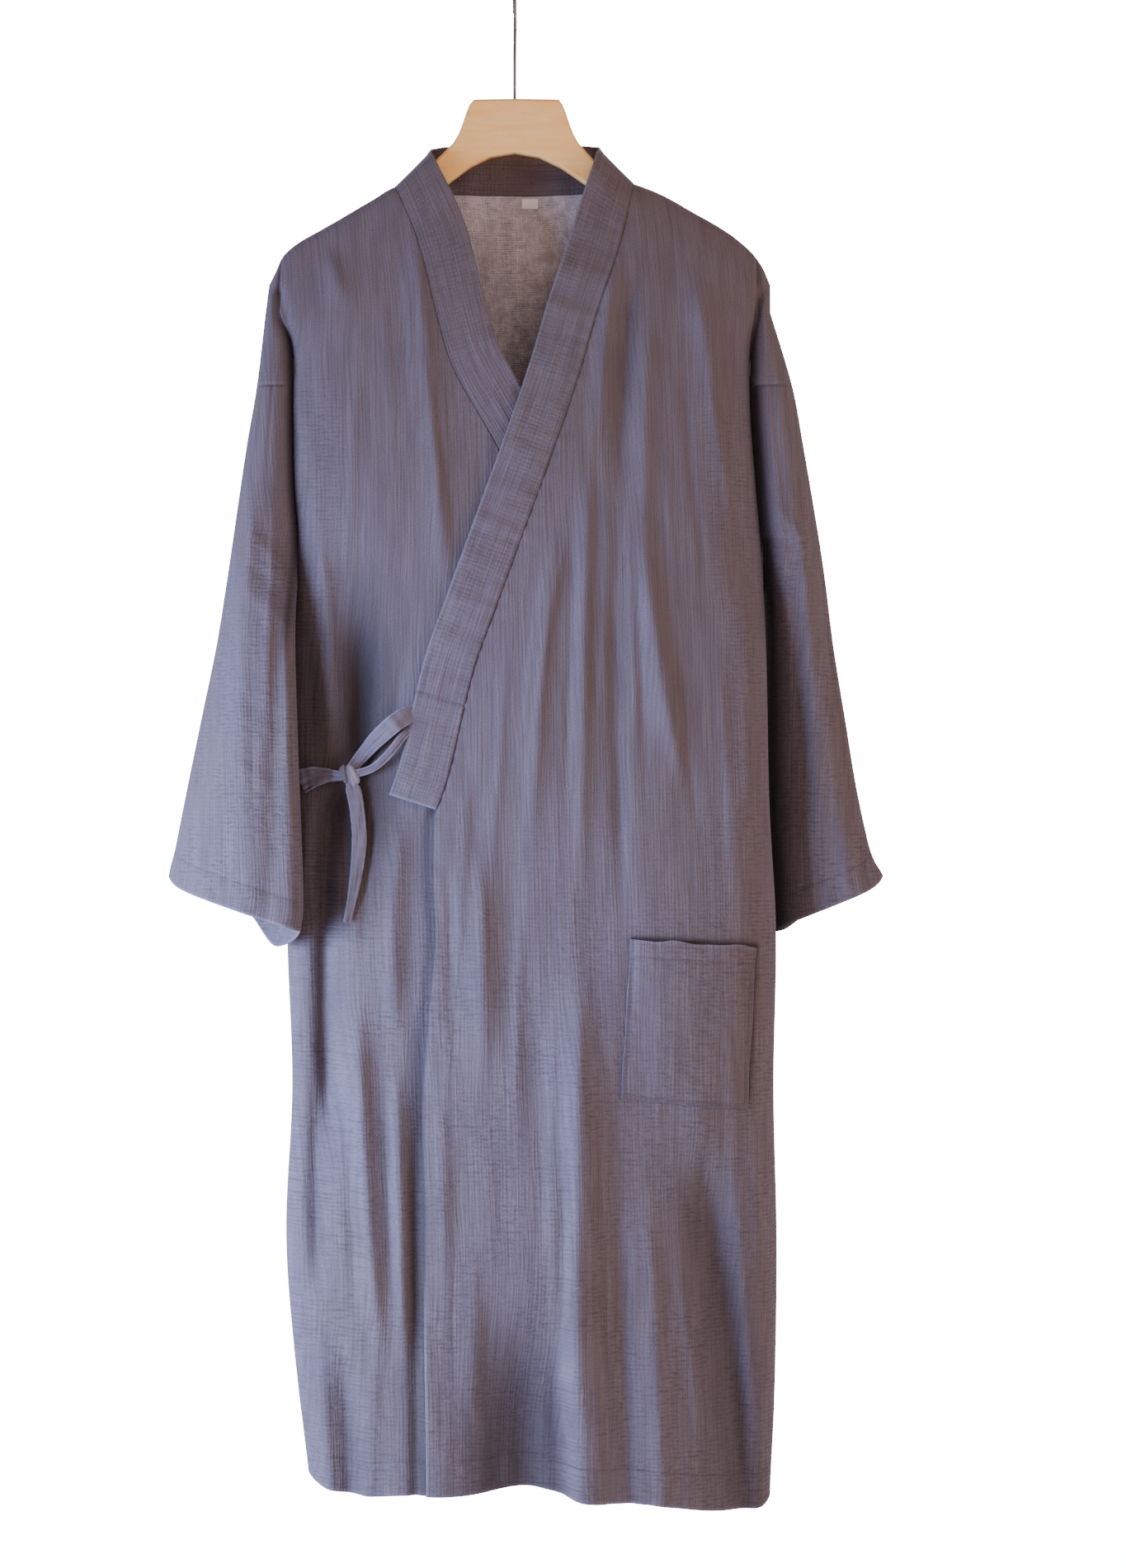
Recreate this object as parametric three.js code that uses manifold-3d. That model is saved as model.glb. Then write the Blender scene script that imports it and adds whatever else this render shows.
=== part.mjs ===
// Wrap kimono robe of crinkled double gauze on a flat wooden hanger, as it hangs from a rail.
// Millimetres, +Z up, front towards -Y. The origin is the seat of the hook, the top of its inside curve.
// Each cloth piece is a wall of even thickness about a grid of points worked out from the sizes below.
import * as THREE from 'three';
import { mergeVertices } from 'three/addons/utils/BufferGeometryUtils.js';
import Module from 'manifold-3d';

const cloth = 1.6;           // wall of a panel, two layers of gauze with their crinkle
const band = 2.4;            // wall of the folded collar
const seam = 0.3;            // gap between pieces that are sewn together
const bandWidth = 45;        // collar, seam to free edge
const hemLeft = -1350;
const hemRight = -1362;
const armpit = -500;
const capEnd = -360;         // the drop-shoulder seam across the sleeve
const yoke = -293;           // below this level every row of a front or back is level
const neckHalf = 108;        // collar seam to the middle, along the shoulder
const neckLevel = -182;      // back-neck seam at the middle
const tipLevel = -243;       // where the shoulder line turns down into the sleeve
const shoulderTip = { left: -223, right: 232 };
const underDepth = 3.4;      // how far the under front lies behind the common front surface
const overDepth = 1.8;       // how far the over front lies in front of it

const { lerp, smoothstep } = THREE.MathUtils;
const step = (t) => smoothstep(t, 0, 1);
const clamp = (t) => Math.min(1, Math.max(0, t));

// Smooth curve through one column of a table, read at a value of its key column (rows in falling order).
function column(table, name, key = 'z') {
  const at = table.map((row) => row[key]);
  const value = table.map((row) => row[name]);
  const last = at.length - 1;
  const slope = at.map((_, k) => {
    const a = Math.max(0, k - 1);
    const b = Math.min(last, k + 1);
    return (value[b] - value[a]) / (at[b] - at[a]);
  });
  return (q) => {
    if (q >= at[0]) return value[0];
    if (q <= at[last]) return value[last];
    let k = 0;
    while (q < at[k + 1]) k += 1;
    const span = at[k + 1] - at[k];
    const t = (q - at[k]) / span;
    const s = t * t * (3 - 2 * t);
    return lerp(value[k], value[k + 1], s)
      + span * t * (1 - t) * ((1 - t) * slope[k] - t * slope[k + 1]);
  };
}

// Shoulder fold over the hanger, from the right tip to the left tip.
const shoulder = [
  { x: 232, z: -268 }, { x: 224, z: -250 }, { x: 212, z: -235.5 }, { x: 191, z: -219 }, { x: 160, z: -201 },
  { x: 136, z: -187.5 }, { x: 108, z: -176.5 }, { x: 0, z: -148 }, { x: -108, z: -179 }, { x: -130, z: -191 },
  { x: -175, z: -217.5 }, { x: -198, z: -231 }, { x: -211, z: -243 }, { x: -217, z: -256 },
  { x: -223, z: -268 },
];
const shoulderZ = column(shoulder, 'z', 'x');

// The body in plan: its side edges, half depths at front and back, and where the sides lie in Y.
const body = [
  { z: -243, left: -211, right: 219, front: 36, back: 36, leftY: 0, rightY: 0, join: 9.5 },
  { z: -293, left: -213, right: 218, front: 38, back: 40, leftY: 0, rightY: 0, join: 9.5 },
  { z: -322, left: -202, right: 214, front: 39, back: 42, leftY: 0, rightY: 0, join: 8 },
  { z: -383, left: -201, right: 214, front: 42, back: 45, leftY: 0, rightY: -1, join: 6 },
  { z: -450, left: -200, right: 219, front: 45, back: 48, leftY: 1, rightY: -2, join: 5 },
  { z: armpit, left: -197, right: 223, front: 47, back: 50, leftY: 3, rightY: -4, join: 0 },
  { z: -595, left: -203, right: 228, front: 51, back: 54, leftY: 13, rightY: -8, join: 0 },
  { z: -740, left: -207, right: 231, front: 57, back: 60, leftY: 18, rightY: -10, join: 0 },
  { z: -855, left: -208, right: 237, front: 62, back: 65, leftY: 16, rightY: -8, join: 0 },
  { z: -993, left: -203, right: 235, front: 68, back: 70, leftY: 12, rightY: -5, join: 0 },
  { z: -1133, left: -208, right: 238, front: 73, back: 75, leftY: 8, rightY: -2, join: 0 },
  { z: -1268, left: -197, right: 236, front: 77, back: 79, leftY: 5, rightY: 0, join: 0 },
  { z: hemLeft, left: -187, right: 232, front: 79, back: 82, leftY: 3, rightY: 0, join: 0 },
];
const bodyAt = Object.fromEntries(Object.keys(body[0]).map((name) => [name, column(body, name)]));
const joinAt = (z) => (z > armpit ? Math.max(0, bodyAt.join(z)) : 0);

// Seam of each front to the collar, and below the collar its free front edge.
const overEdge = [
  { z: -176, x: 108 }, { z: -234, x: 95 }, { z: -303, x: 73 }, { z: -354, x: 58 }, { z: -428, x: 33 },
  { z: -513, x: 2 }, { z: -568, x: -18 }, { z: -619, x: -36 }, { z: -719, x: -60 }, { z: -744, x: -69 },
  { z: -756, x: -72 }, { z: -900, x: -74 }, { z: -1030, x: -79 }, { z: hemLeft, x: -79 },
];
const underEdge = [
  { z: -179, x: -108 }, { z: -230, x: -87 }, { z: -305, x: -68 }, { z: -350, x: -53 }, { z: -425, x: -11 },
  { z: -520, x: 27 }, { z: -640, x: 60 }, { z: -744, x: 82 }, { z: -760, x: 84 }, { z: hemRight, x: 84 },
];
const overX = column(overEdge, 'x');
const underX = column(underEdge, 'x');
const bandEnd = -744;        // lower end of the collar's seam on both fronts

// Folds of the fronts. Each runs through x at its top, middle and end; depth is towards the viewer, or away.
// rise and fall are the lengths over which it grows and dies, and a fall of 0 runs out through the hem.
const frontFolds = [
  { x: [-92, -74, -60], z: [-211, -560], half: 10, depth: 5, rise: 60, fall: 90 },
  { x: [-172, -160, -152], z: [-229, -300], half: 12, depth: 4, rise: 30, fall: 30 },
  { x: [-190, -170, -160], z: [-440, -703], half: 12, depth: 5, rise: 90, fall: 60 },
  { x: [-140, -139, -137], z: [-545, -712], half: 15, depth: -13, rise: 90, fall: 20 },
  { x: [-163, -173, -162], z: [-718, -1080], half: 14, depth: -12, rise: 25, fall: 120 },
  { x: [-142, -132, -118], z: [-900, -1250], half: 13, depth: 8, rise: 90, fall: 90 },
  { x: [-106, -101, -96], z: [-960, -1260], half: 10, depth: 6, rise: 80, fall: 90 },
  { x: [-180, -180, -176], z: [-975, -1190], half: 11, depth: -6, rise: 70, fall: 60 },
  { x: [-100, -108, -104], z: [-745, -960], half: 12, depth: 5, rise: 50, fall: 80 },
  { x: [-160, -150, -146], z: [-1190, hemLeft], half: 16, depth: -7, rise: 90, fall: 0 },
  { x: [93, 81, 77], z: [-235, -430], half: 9, depth: 4, rise: 50, fall: 80 },
  { x: [105, 98, 95], z: [-250, -480], half: 10, depth: -5, rise: 50, fall: 90 },
  { x: [121, 118, 117], z: [-290, -520], half: 10, depth: 4, rise: 60, fall: 70 },
  { x: [160, 182, 202], z: [-250, -500], half: 12, depth: 6, rise: 60, fall: 70 },
  { x: [112, 128, 156], z: [-460, -740], half: 13, depth: 7, rise: 90, fall: 90 },
  { x: [202, 214, 202], z: [-520, -790], half: 12, depth: 5, rise: 70, fall: 80 },
  { x: [40, 24, 14], z: [-470, -800], half: 9, depth: 3.5, rise: 80, fall: 110 },
  { x: [66, 62, 60], z: [-430, -840], half: 9, depth: 4, rise: 80, fall: 130 },
  { x: [90, 92, 98], z: [-520, -850], half: 9, depth: -4, rise: 80, fall: 120 },
  { x: [-30, -28, -24], z: [-760, -1010], half: 14, depth: 5, rise: 80, fall: 120 },
  { x: [62, 56, 60], z: [-860, hemRight], half: 18, depth: 11, rise: 160, fall: 0 },
  { x: [164, 186, 206], z: [-1020, hemRight], half: 28, depth: -13, rise: 110, fall: 0 },
  { x: [120, 126, 132], z: [-1060, hemRight], half: 17, depth: 6, rise: 120, fall: 0 },
  { x: [4, 8, 10], z: [-1150, hemRight], half: 42, depth: -30, rise: 190, fall: 0 },
];
const backFolds = [
  { x: [-60, -72, -84], z: [-260, -700], half: 16, depth: 6, rise: 90, fall: 160 },
  { x: [18, 10, 4], z: [-220, -780], half: 15, depth: -6, rise: 80, fall: 200 },
  { x: [74, 88, 104], z: [-250, -660], half: 15, depth: 6, rise: 80, fall: 140 },
  { x: [-150, -172, -184], z: [-300, -640], half: 14, depth: 6, rise: 60, fall: 110 },
  { x: [160, 184, 198], z: [-290, -620], half: 14, depth: 6, rise: 60, fall: 110 },
  { x: [-120, -128, -134], z: [-560, -1130], half: 18, depth: -9, rise: 150, fall: 200 },
  { x: [-30, -36, -44], z: [-700, hemLeft], half: 20, depth: 9, rise: 200, fall: 0 },
  { x: [46, 50, 58], z: [-820, hemLeft], half: 24, depth: -16, rise: 240, fall: 0 },
  { x: [120, 112, 110], z: [-640, hemLeft], half: 20, depth: 9, rise: 200, fall: 0 },
  { x: [176, 182, 186], z: [-760, -1260], half: 17, depth: -8, rise: 160, fall: 160 },
  { x: [-100, -98, -104], z: [-1000, hemLeft], half: 22, depth: -13, rise: 170, fall: 0 },
  { x: [-160, -164, -160], z: [-960, hemLeft], half: 17, depth: 7, rise: 150, fall: 0 },
];

// Sum of soft ridges and troughs at a point: a bell across each fold, a smooth rise and fall along it.
function foldDepth(folds, x, z) {
  return folds.reduce((sum, fold) => {
    const [top, end] = fold.z;
    const q = clamp((top - z) / (top - end));
    const [a, b, c] = fold.x;
    const path = a * (1 - q) * (1 - 2 * q) + 4 * b * q * (1 - q) + c * q * (2 * q - 1);
    const fade = fold.fall > 0 ? step((z - end) / fold.fall) : 1;
    const along = step((top - z) / fold.rise) * fade;
    return sum + fold.depth * along * Math.exp(-(((x - path) / fold.half) ** 2));
  }, 0);
}

const roundRadius = 9;       // of the cloth over the edge of the wood
const slopeLength = 160;     // over which the cloth falls clear of the shoulder
const quarter = (s) => Math.sqrt(1 - (1 - clamp(s)) ** 2);
const fullness = 2.5;        // of the body's plan: 2 is an ellipse

// Half depth of the body at a point, from its middle plane to the front or back panel.
function halfDepth(face, x, z) {
  const left = bodyAt.left(z);
  const right = bodyAt.right(z);
  const across = clamp(Math.abs(2 * x - left - right) / (right - left));
  const below = Math.max(0, shoulderZ(x) - z);
  const join = joinAt(z);
  const plan = (1 - across ** fullness) ** (1 / fullness);
  return join * quarter(below / roundRadius) + (bodyAt[face](z) - join) * plan * quarter(below / slopeLength);
}

function middleY(x, z) {
  const left = bodyAt.left(z);
  const right = bodyAt.right(z);
  return lerp(bodyAt.leftY(z), bodyAt.rightY(z), clamp((x - left) / (right - left)));
}

// Where a panel ends at a side seam or in an armhole; sign is -1 for a front and 1 for the back.
function sideY(name, sign, x, z) {
  const join = joinAt(z) * quarter(Math.max(0, shoulderZ(x) - z) / roundRadius);
  return bodyAt[`${name}Y`](z) + sign * (seam / 2 + join);
}

const edgeFade = 40;         // folds and layer offsets die away this near a side seam or shoulder

function nearEdge(x, z) {
  const side = Math.min(x - bodyAt.left(z), bodyAt.right(z) - x);
  return step(side / edgeFade) * step((shoulderZ(x) - z) / edgeFade);
}

const layer = { over: -overDepth, under: underDepth, none: 0 };

function frontY(x, z, which = 'none') {
  const fold = layer[which] - foldDepth(frontFolds, x, z);
  return middleY(x, z) - seam / 2 - halfDepth('front', x, z) + fold * nearEdge(x, z);
}

function backY(x, z) {
  return middleY(x, z) + seam / 2 + halfDepth('back', x, z) + foldDepth(backFolds, x, z) * nearEdge(x, z);
}

// Outer edge, inner edge and half depth of each sleeve, row by row down its length.
const sleeves = {
  left: [
    { outX: -226, outZ: -293, inX: -213, inZ: -293, outY: 0, inY: 0, half: 12 },
    { outX: -234, outZ: capEnd, inX: -202, inZ: capEnd, outY: 0, inY: 0, half: 17 },
    { outX: -243, outZ: -413, inX: -201, inZ: -413, outY: 0, inY: 0, half: 22 },
    { outX: -256, outZ: armpit, inX: -199, inZ: armpit, outY: 2, inY: 2, half: 30 },
    { outX: -262, outZ: -540, inX: -198.5, inZ: -545, outY: 3, inY: -14, half: 31 },
    { outX: -271, outZ: -595, inX: -197, inZ: -605, outY: 4, inY: -34, half: 33 },
    { outX: -285, outZ: -663, inX: -193.5, inZ: -683, outY: 4, inY: -47, half: 35 },
    { outX: -298.5, outZ: -730, inX: -190, inZ: -759, outY: 2, inY: -54, half: 37 },
    { outX: -311, outZ: -795, inX: -187.5, inZ: -832, outY: 0, inY: -58, half: 38 },
    { outX: -314, outZ: -812, inX: -190, inZ: -852, outY: 0, inY: -58, half: 38 },
  ],
  right: [
    { outX: 232, outZ: -293, inX: 218, inZ: -293, outY: 0, inY: 0, half: 12 },
    { outX: 252, outZ: capEnd, inX: 214, inZ: capEnd, outY: 0, inY: 0, half: 17 },
    { outX: 262, outZ: -413, inX: 216, inZ: -413, outY: 2, inY: 0, half: 22 },
    { outX: 277, outZ: armpit, inX: 226, inZ: armpit, outY: 6, inY: 2, half: 28 },
    { outX: 283, outZ: -540, inX: 228, inZ: -545, outY: 8, inY: 16, half: 29 },
    { outX: 290, outZ: -595, inX: 228, inZ: -605, outY: 10, inY: 32, half: 31 },
    { outX: 301, outZ: -663, inX: 227, inZ: -683, outY: 10, inY: 44, half: 33 },
    { outX: 312, outZ: -730, inX: 226, inZ: -759, outY: 8, inY: 50, half: 35 },
    { outX: 327, outZ: -795, inX: 226, inZ: -838, outY: 6, inY: 52, half: 36 },
    { outX: 335, outZ: -812, inX: 227, inZ: -858, outY: 6, inY: 52, half: 36 },
  ],
};

// Folds of a sleeve: round it by angle (0 at the outer edge, -90 at the front), down it by outer height.
const sleeveFolds = {
  left: [
    { angle: [-60, -75, -95], z: [-420, -800], half: 16, depth: 4, rise: 90, fall: 120 },
    { angle: [-130, -128, -122], z: [-520, -812], half: 14, depth: -5, rise: 90, fall: 0 },
    { angle: [-30, -36, -40], z: [-560, -812], half: 12, depth: -4, rise: 90, fall: 0 },
    { angle: [70, 85, 95], z: [-430, -812], half: 16, depth: -6, rise: 90, fall: 0 },
    { angle: [130, 124, 120], z: [-540, -790], half: 14, depth: 5, rise: 90, fall: 90 },
  ],
  right: [
    { angle: [-34, -36, -34], z: [-480, -812], half: 11, depth: -6, rise: 90, fall: 0 },
    { angle: [-70, -76, -80], z: [-440, -780], half: 15, depth: 5, rise: 90, fall: 100 },
    { angle: [60, 74, 90], z: [-430, -812], half: 16, depth: -6, rise: 90, fall: 0 },
    { angle: [125, 122, 120], z: [-540, -790], half: 14, depth: 5, rise: 90, fall: 90 },
  ],
};

const sleeveAt = Object.fromEntries(Object.entries(sleeves).map(([name, table]) => [
  name,
  Object.fromEntries(Object.keys(table[0]).map((field) => [field, column(table, field, 'outZ')])),
]));

const groove = 1.1;          // half the space between the body's edge and the sleeve's in the armhole
const toMiddle = { left: 1, right: -1 };
const rad = THREE.MathUtils.degToRad;
const lowGap = rad(11);      // half the angle that the last cell of a closed sleeve takes up

// A point of a sleeve: an ellipse about the line from its inner to its outer edge.
function sleevePoint(name, level, turn) {
  const at = sleeveAt[name];
  const open = step((level - armpit) / 20);
  const half = at.half(level);
  const start = lerp(lowGap, Math.asin(joinAt(level) / half), open);
  const angle = turn * (Math.PI - Math.max(start, lowGap / 2));
  const inner = new THREE.Vector3(at.inX(level), at.inY(level), at.inZ(level));
  if (level > armpit) {
    inner.x = bodyAt[name](level) - toMiddle[name] * groove;
    inner.y = bodyAt[`${name}Y`](level);
  }
  const outer = new THREE.Vector3(at.outX(level), at.outY(level), level);
  const point = inner.clone().lerp(outer, 0.5 + 0.5 * Math.cos(angle));
  const folds = sleeveFolds[name].reduce((sum, fold) => {
    const [top, end] = fold.z;
    const q = clamp((top - level) / (top - end));
    const path = lerp(lerp(fold.angle[0], fold.angle[1], q), lerp(fold.angle[1], fold.angle[2], q), q);
    const fade = fold.fall > 0 ? step((level - end) / fold.fall) : 1;
    const away = (THREE.MathUtils.radToDeg(angle) - path) / fold.half;
    return sum + fold.depth * step((top - level) / fold.rise) * fade * Math.exp(-away * away);
  }, 0);
  point.y += Math.sin(angle) * (half + folds);
  return point;
}

// A wall about a grid of points: both skins and a rim along every free edge of the cells that are kept.
// pin may turn a point's normal, so that an edge stays on its own side of a seam.
function wall(grid, thickness, { keep = () => true, wrap = false, pin = () => {} } = {}) {
  const rows = grid.length;
  const cols = grid[0].length;
  const normals = grid.map((row) => row.map(() => new THREE.Vector3()));
  const cells = [];
  for (let j = 0; j < rows - 1; j += 1) {
    for (let i = 0; i < (wrap ? cols : cols - 1); i += 1) {
      if (!keep(j, i)) continue;
      const next = (i + 1) % cols;
      const corners = [[j, i], [j, next], [j + 1, next], [j + 1, i]];
      const [a, b, c, d] = corners.map(([r, k]) => grid[r][k]);
      const normal = new THREE.Vector3().crossVectors(c.clone().sub(a), d.clone().sub(b)).normalize();
      corners.forEach(([r, k]) => normals[r][k].add(normal));
      cells.push(corners.map(([r, k]) => r * cols + k));
    }
  }
  const position = [];
  normals.forEach((row, j) => row.forEach((normal, i) => {
    normal.normalize();
    pin(normal, j, i);
    normal.normalize();
    const point = grid[j][i];
    position.push(...point.clone().addScaledVector(normal, thickness / 2).toArray());
    position.push(...point.clone().addScaledVector(normal, -thickness / 2).toArray());
  }));
  const front = (v) => 2 * v;
  const rear = (v) => 2 * v + 1;
  const quad = (a, b, c, d) => [a, b, c, a, c, d];
  const index = [];
  const edges = new Map();
  cells.forEach((cell) => {
    index.push(...quad(...cell.map(front)));
    index.push(...quad(...cell.map(rear).reverse()));
    cell.forEach((v, k) => edges.set(`${v},${cell[(k + 1) % 4]}`, [v, cell[(k + 1) % 4]]));
  });
  edges.forEach(([a, b]) => {
    if (!edges.has(`${b},${a}`)) index.push(...quad(front(b), front(a), rear(a), rear(b)));
  });
  return closed(position, index);
}

// Geometry from points and triangles, turned so that its faces point out.
function closed(position, index) {
  const corner = (k) => new THREE.Vector3().fromArray(position, 3 * index[k]);
  let volume = 0;
  for (let k = 0; k < index.length; k += 3) {
    volume += corner(k).dot(corner(k + 1).cross(corner(k + 2)));
  }
  const geometry = new THREE.BufferGeometry();
  geometry.setAttribute('position', new THREE.Float32BufferAttribute(position, 3));
  geometry.setIndex(volume > 0 ? index : index.reverse());
  const used = geometry.toNonIndexed();
  return mergeVertices(used, 1e-4);
}

const spaced = (n, f) => Array.from({ length: n + 1 }, (_, k) => f(k / n));

// Levels of the rows: yoke rows fan out from the shoulder, the rest are level and share the side seams.
const yokeRows = 5;
const levels = [
  yoke, -318, -339, capEnd, -395, -430, -465, armpit, -530, -565, -600, -640, -680, -720, bandEnd, -756,
  -800, -850, -900, -950, -1000, -1050, -1100, -1150, -1200, -1240, -1280, -1316, hemLeft,
];
const capRow = yokeRows + levels.indexOf(capEnd);
const armpitRow = yokeRows + levels.indexOf(armpit);

const hemLift = 8;           // the hem rises where the front falls back between its folds
const liftHalf = 40;

function hemDrop(x, z, lifted) {
  const share = step((-850 - z) / (-850 - hemLeft));
  const slope = (hemRight - hemLeft) * clamp((x - bodyAt.left(z)) / (bodyAt.right(z) - bodyAt.left(z)));
  const lift = lifted ? hemLift * Math.exp(-(((x - 10) / liftHalf) ** 2)) : 0;
  return share * (slope + lift);
}

const capRounding = 1.2;     // how softly the cap rounds down from the shoulder line
const sleeveCells = 6;       // across the front or the back of a sleeve
const turns = spaced(sleeveCells, (t) => t);

// Points of the shoulder cap, from the groove out: the top of a sleeve, cut in one with the body panel.
function capPoint(name, sign, t, row) {
  const top = Math.max(0, yokeRows - row) / yokeRows;   // 1 on the shoulder, 0 at the yoke line
  const level = levels[Math.max(0, row - yokeRows)];
  const low = sleevePoint(name, level, sign * (1 - t));
  if (top === 0) return low;
  const x = lerp(bodyAt[name](tipLevel), shoulderTip[name], t);
  const ridge = new THREE.Vector3(x, 0, shoulderZ(x));
  const point = ridge.lerp(low, 1 - top);
  const fall = Math.max(0, shoulderZ(x) - point.z);
  point.y = low.y * quarter(fall / (shoulderZ(x) - yoke)) ** capRounding;
  return point;
}

const sideGap = (sign) => sign * seam / 2;
const yokeFan = 1.3;         // how the yoke's rows crowd towards the shoulder
const evenShare = 0.55;      // of a front's column spacing that is even; the rest crowds towards the side
const backEvenShare = 0.62;  // the same for the back
const backMiddle = 4;        // the back's two middle columns stand this far from its centre line

// One body panel: columns from edge to armhole, then the cap's columns down to the drop-shoulder seam.
function panelGrid({ name, sign, main, surface, topX, edgeX, lifted }) {
  const grid = [];
  for (let row = 0; row < yokeRows + levels.length; row += 1) {
    const line = spaced(main, (t) => {
      const share = lerp(Math.sin(t * Math.PI / 2), t, evenShare);
      const level = levels[Math.max(0, row - yokeRows)];
      const side = bodyAt[name](level) + toMiddle[name] * groove;
      const low = lerp(edgeX(level), side, share);
      if (row >= yokeRows) {
        const z = level + hemDrop(low, level, lifted);
        return new THREE.Vector3(low, t === 1 ? sideY(name, sign, low, z) : surface(low, z), z);
      }
      const f = (row / yokeRows) ** yokeFan;
      const start = lerp(topX, bodyAt[name](tipLevel) + toMiddle[name] * groove, t);
      const z = lerp(shoulderZ(start), yoke, f);
      const onEdge = edgeX(z) - lerp(edgeX(shoulderZ(topX)), edgeX(yoke), f);
      const x = lerp(start, low, f) + onEdge * (1 - t) ** 2;
      const y = t === 1 ? sideY(name, sign, x, z) : surface(x, z);
      return new THREE.Vector3(x, row === 0 ? sideGap(sign) : y, z);
    });
    const cap = turns.map((t) => {
      const point = capPoint(name, sign, t, row);
      if (row === 0 || t === 1) point.y = sideGap(sign) + (row === 0 ? 0 : point.y);
      return point;
    });
    grid.push([...line, ...cap]);
  }
  return grid;
}

const mainOver = 22;
const mainUnder = 18;
const overGrid = panelGrid({
  name: 'right', sign: -1, main: mainOver, topX: neckHalf, edgeX: overX, lifted: true,
  surface: (x, z) => frontY(x, z, 'over'),
});
const underGrid = panelGrid({
  name: 'left', sign: -1, main: mainUnder, topX: -neckHalf, edgeX: underX, lifted: true,
  surface: (x, z) => frontY(x, z, 'under'),
});

const neckLow = -262;        // below this height the band lies flat on the front

// Direction from a collar seam to the band's free edge, at a height on a front.
function acrossFront(side, z) {
  const edgeX = side === 'over' ? overX : underX;
  const sign = side === 'over' ? 1 : -1;
  const span = 12;
  const run = new THREE.Vector3(edgeX(z + span) - edgeX(z - span), 0, 2 * span).normalize();
  const inward = new THREE.Vector3(-sign * run.z, 0, sign * run.x);
  const up = new THREE.Vector3(-sign, 0, 0.95).normalize();
  return inward.lerp(up, step((z - neckLow) / (shoulderZ(neckHalf) - neckLow))).normalize();
}

function pinPanel(side, main, neckRow) {
  return (normal, j, i) => {
    const last = main + turns.length;
    if (j === 0 || i === last || (i === main && j >= armpitRow)) normal.y = 0;
    if (j === capRow && i > main) normal.z = 0;
    if (i === 0 && j <= neckRow) {
      const across = acrossFront(side, (side === 'over' ? overGrid : underGrid)[j][0].z);
      normal.addScaledVector(across, -normal.dot(across));
    }
  };
}

const keepPanel = (main) => (j, i) => i < main || j < capRow;
const bandRow = yokeRows + levels.indexOf(bandEnd);

// The back has one set of columns from sleeve to sleeve; its top is shoulder, back neck, shoulder.
const mainBack = 26;

function neckZ(x) {
  const t = clamp(Math.abs(x) / neckHalf);
  return lerp(neckLevel, shoulderZ(Math.sign(x) * neckHalf), t ** 3);
}

function backGrid() {
  const half = (name) => {
    const grid = [];
    for (let row = 0; row < yokeRows + levels.length; row += 1) {
      const line = spaced(mainBack / 2, (t) => {
        const share = lerp(Math.sin(t * Math.PI / 2), t, backEvenShare);
        const level = levels[Math.max(0, row - yokeRows)];
        const side = bodyAt[name](level) + toMiddle[name] * groove;
        const low = lerp(backMiddle, side, share);
        if (row >= yokeRows) {
          const z = level + hemDrop(low, level, false);
          return new THREE.Vector3(low, t === 1 ? sideY(name, 1, low, z) : backY(low, z), z);
        }
        const f = (row / yokeRows) ** yokeFan;
        const start = lerp(backMiddle, bodyAt[name](tipLevel) + toMiddle[name] * groove, share);
        const topZ = Math.abs(start) < neckHalf ? neckZ(start) : shoulderZ(start);
        const z = lerp(topZ, yoke, f);
        const x = lerp(start, low, f);
        const onShoulder = row === 0 && Math.abs(start) >= neckHalf;
        const y = t === 1 ? sideY(name, 1, x, z) : backY(x, z);
        return new THREE.Vector3(x, onShoulder ? sideGap(1) : y, z);
      });
      const cap = turns.map((t) => {
        const point = capPoint(name, 1, t, row);
        if (row === 0 || t === 1) point.y = sideGap(1) + (row === 0 ? 0 : point.y);
        return point;
      });
      grid.push([...line, ...cap]);
    }
    return grid;
  };
  const left = half('left');
  const right = half('right');
  return left.map((row, j) => [...row.slice(1).reverse(), ...right[j]]);
}

const backPoints = backGrid();
const sideCols = turns.length;
const backCols = backPoints[0].length;
const firstMain = sideCols;
const lastMain = backCols - 1 - sideCols;

function pinBack(normal, j, i) {
  const atSide = i === firstMain || i === lastMain;
  const overNeck = Math.abs(backPoints[0][i].x) < neckHalf;
  if ((j === 0 && !overNeck) || i === 0 || i === backCols - 1 || (atSide && j >= armpitRow)) normal.y = 0;
  if (j === 0 && overNeck) normal.z = 0;
  if (j === capRow && (i < firstMain || i > lastMain)) normal.z = 0;
}

const sleeveLevels = [capEnd, -395, -430, -465, armpit, -530, -565, -600, -640, -680, -720, -760, -790, -812];
const sleeveArmpit = sleeveLevels.indexOf(armpit);
const peek = { left: 18, right: 6, from: -740, over: 70 };   // the back layer hangs lower near the inner cuff

// A sleeve hangs from the cap's lower edge; above the armpit its inner side is open to the body.
function sleeveGrid(name) {
  const round = [...turns.map((t) => -(1 - t)), ...turns.slice(1)];
  return sleeveLevels.map((level, j) => round.map((turn) => {
    const point = sleevePoint(name, level, turn);
    if (j === 0) point.z -= seam;
    const rear = Math.max(0, Math.sin(turn * Math.PI));
    const inner = step((Math.abs(turn) - 0.45) / 0.4);
    point.z -= peek[name] * rear * inner * step((peek.from - level) / peek.over);
    return point;
  }));
}

const wood = new THREE.MeshStandardMaterial({ color: 0xe2bd98, roughness: 0.6, metalness: 0 });
const steel = new THREE.MeshStandardMaterial({ color: 0xb9b6b2, roughness: 0.3, metalness: 1 });
const gauze = new THREE.MeshStandardMaterial({ color: 0x6b626c, roughness: 0.95, metalness: 0 });
const tape = new THREE.MeshStandardMaterial({ color: 0xeeecea, roughness: 0.8, metalness: 0 });

const robe = new THREE.Group();

function add(name, geometry, material) {
  const mesh = new THREE.Mesh(geometry, material);
  mesh.name = name;
  robe.add(mesh);
}

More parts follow.
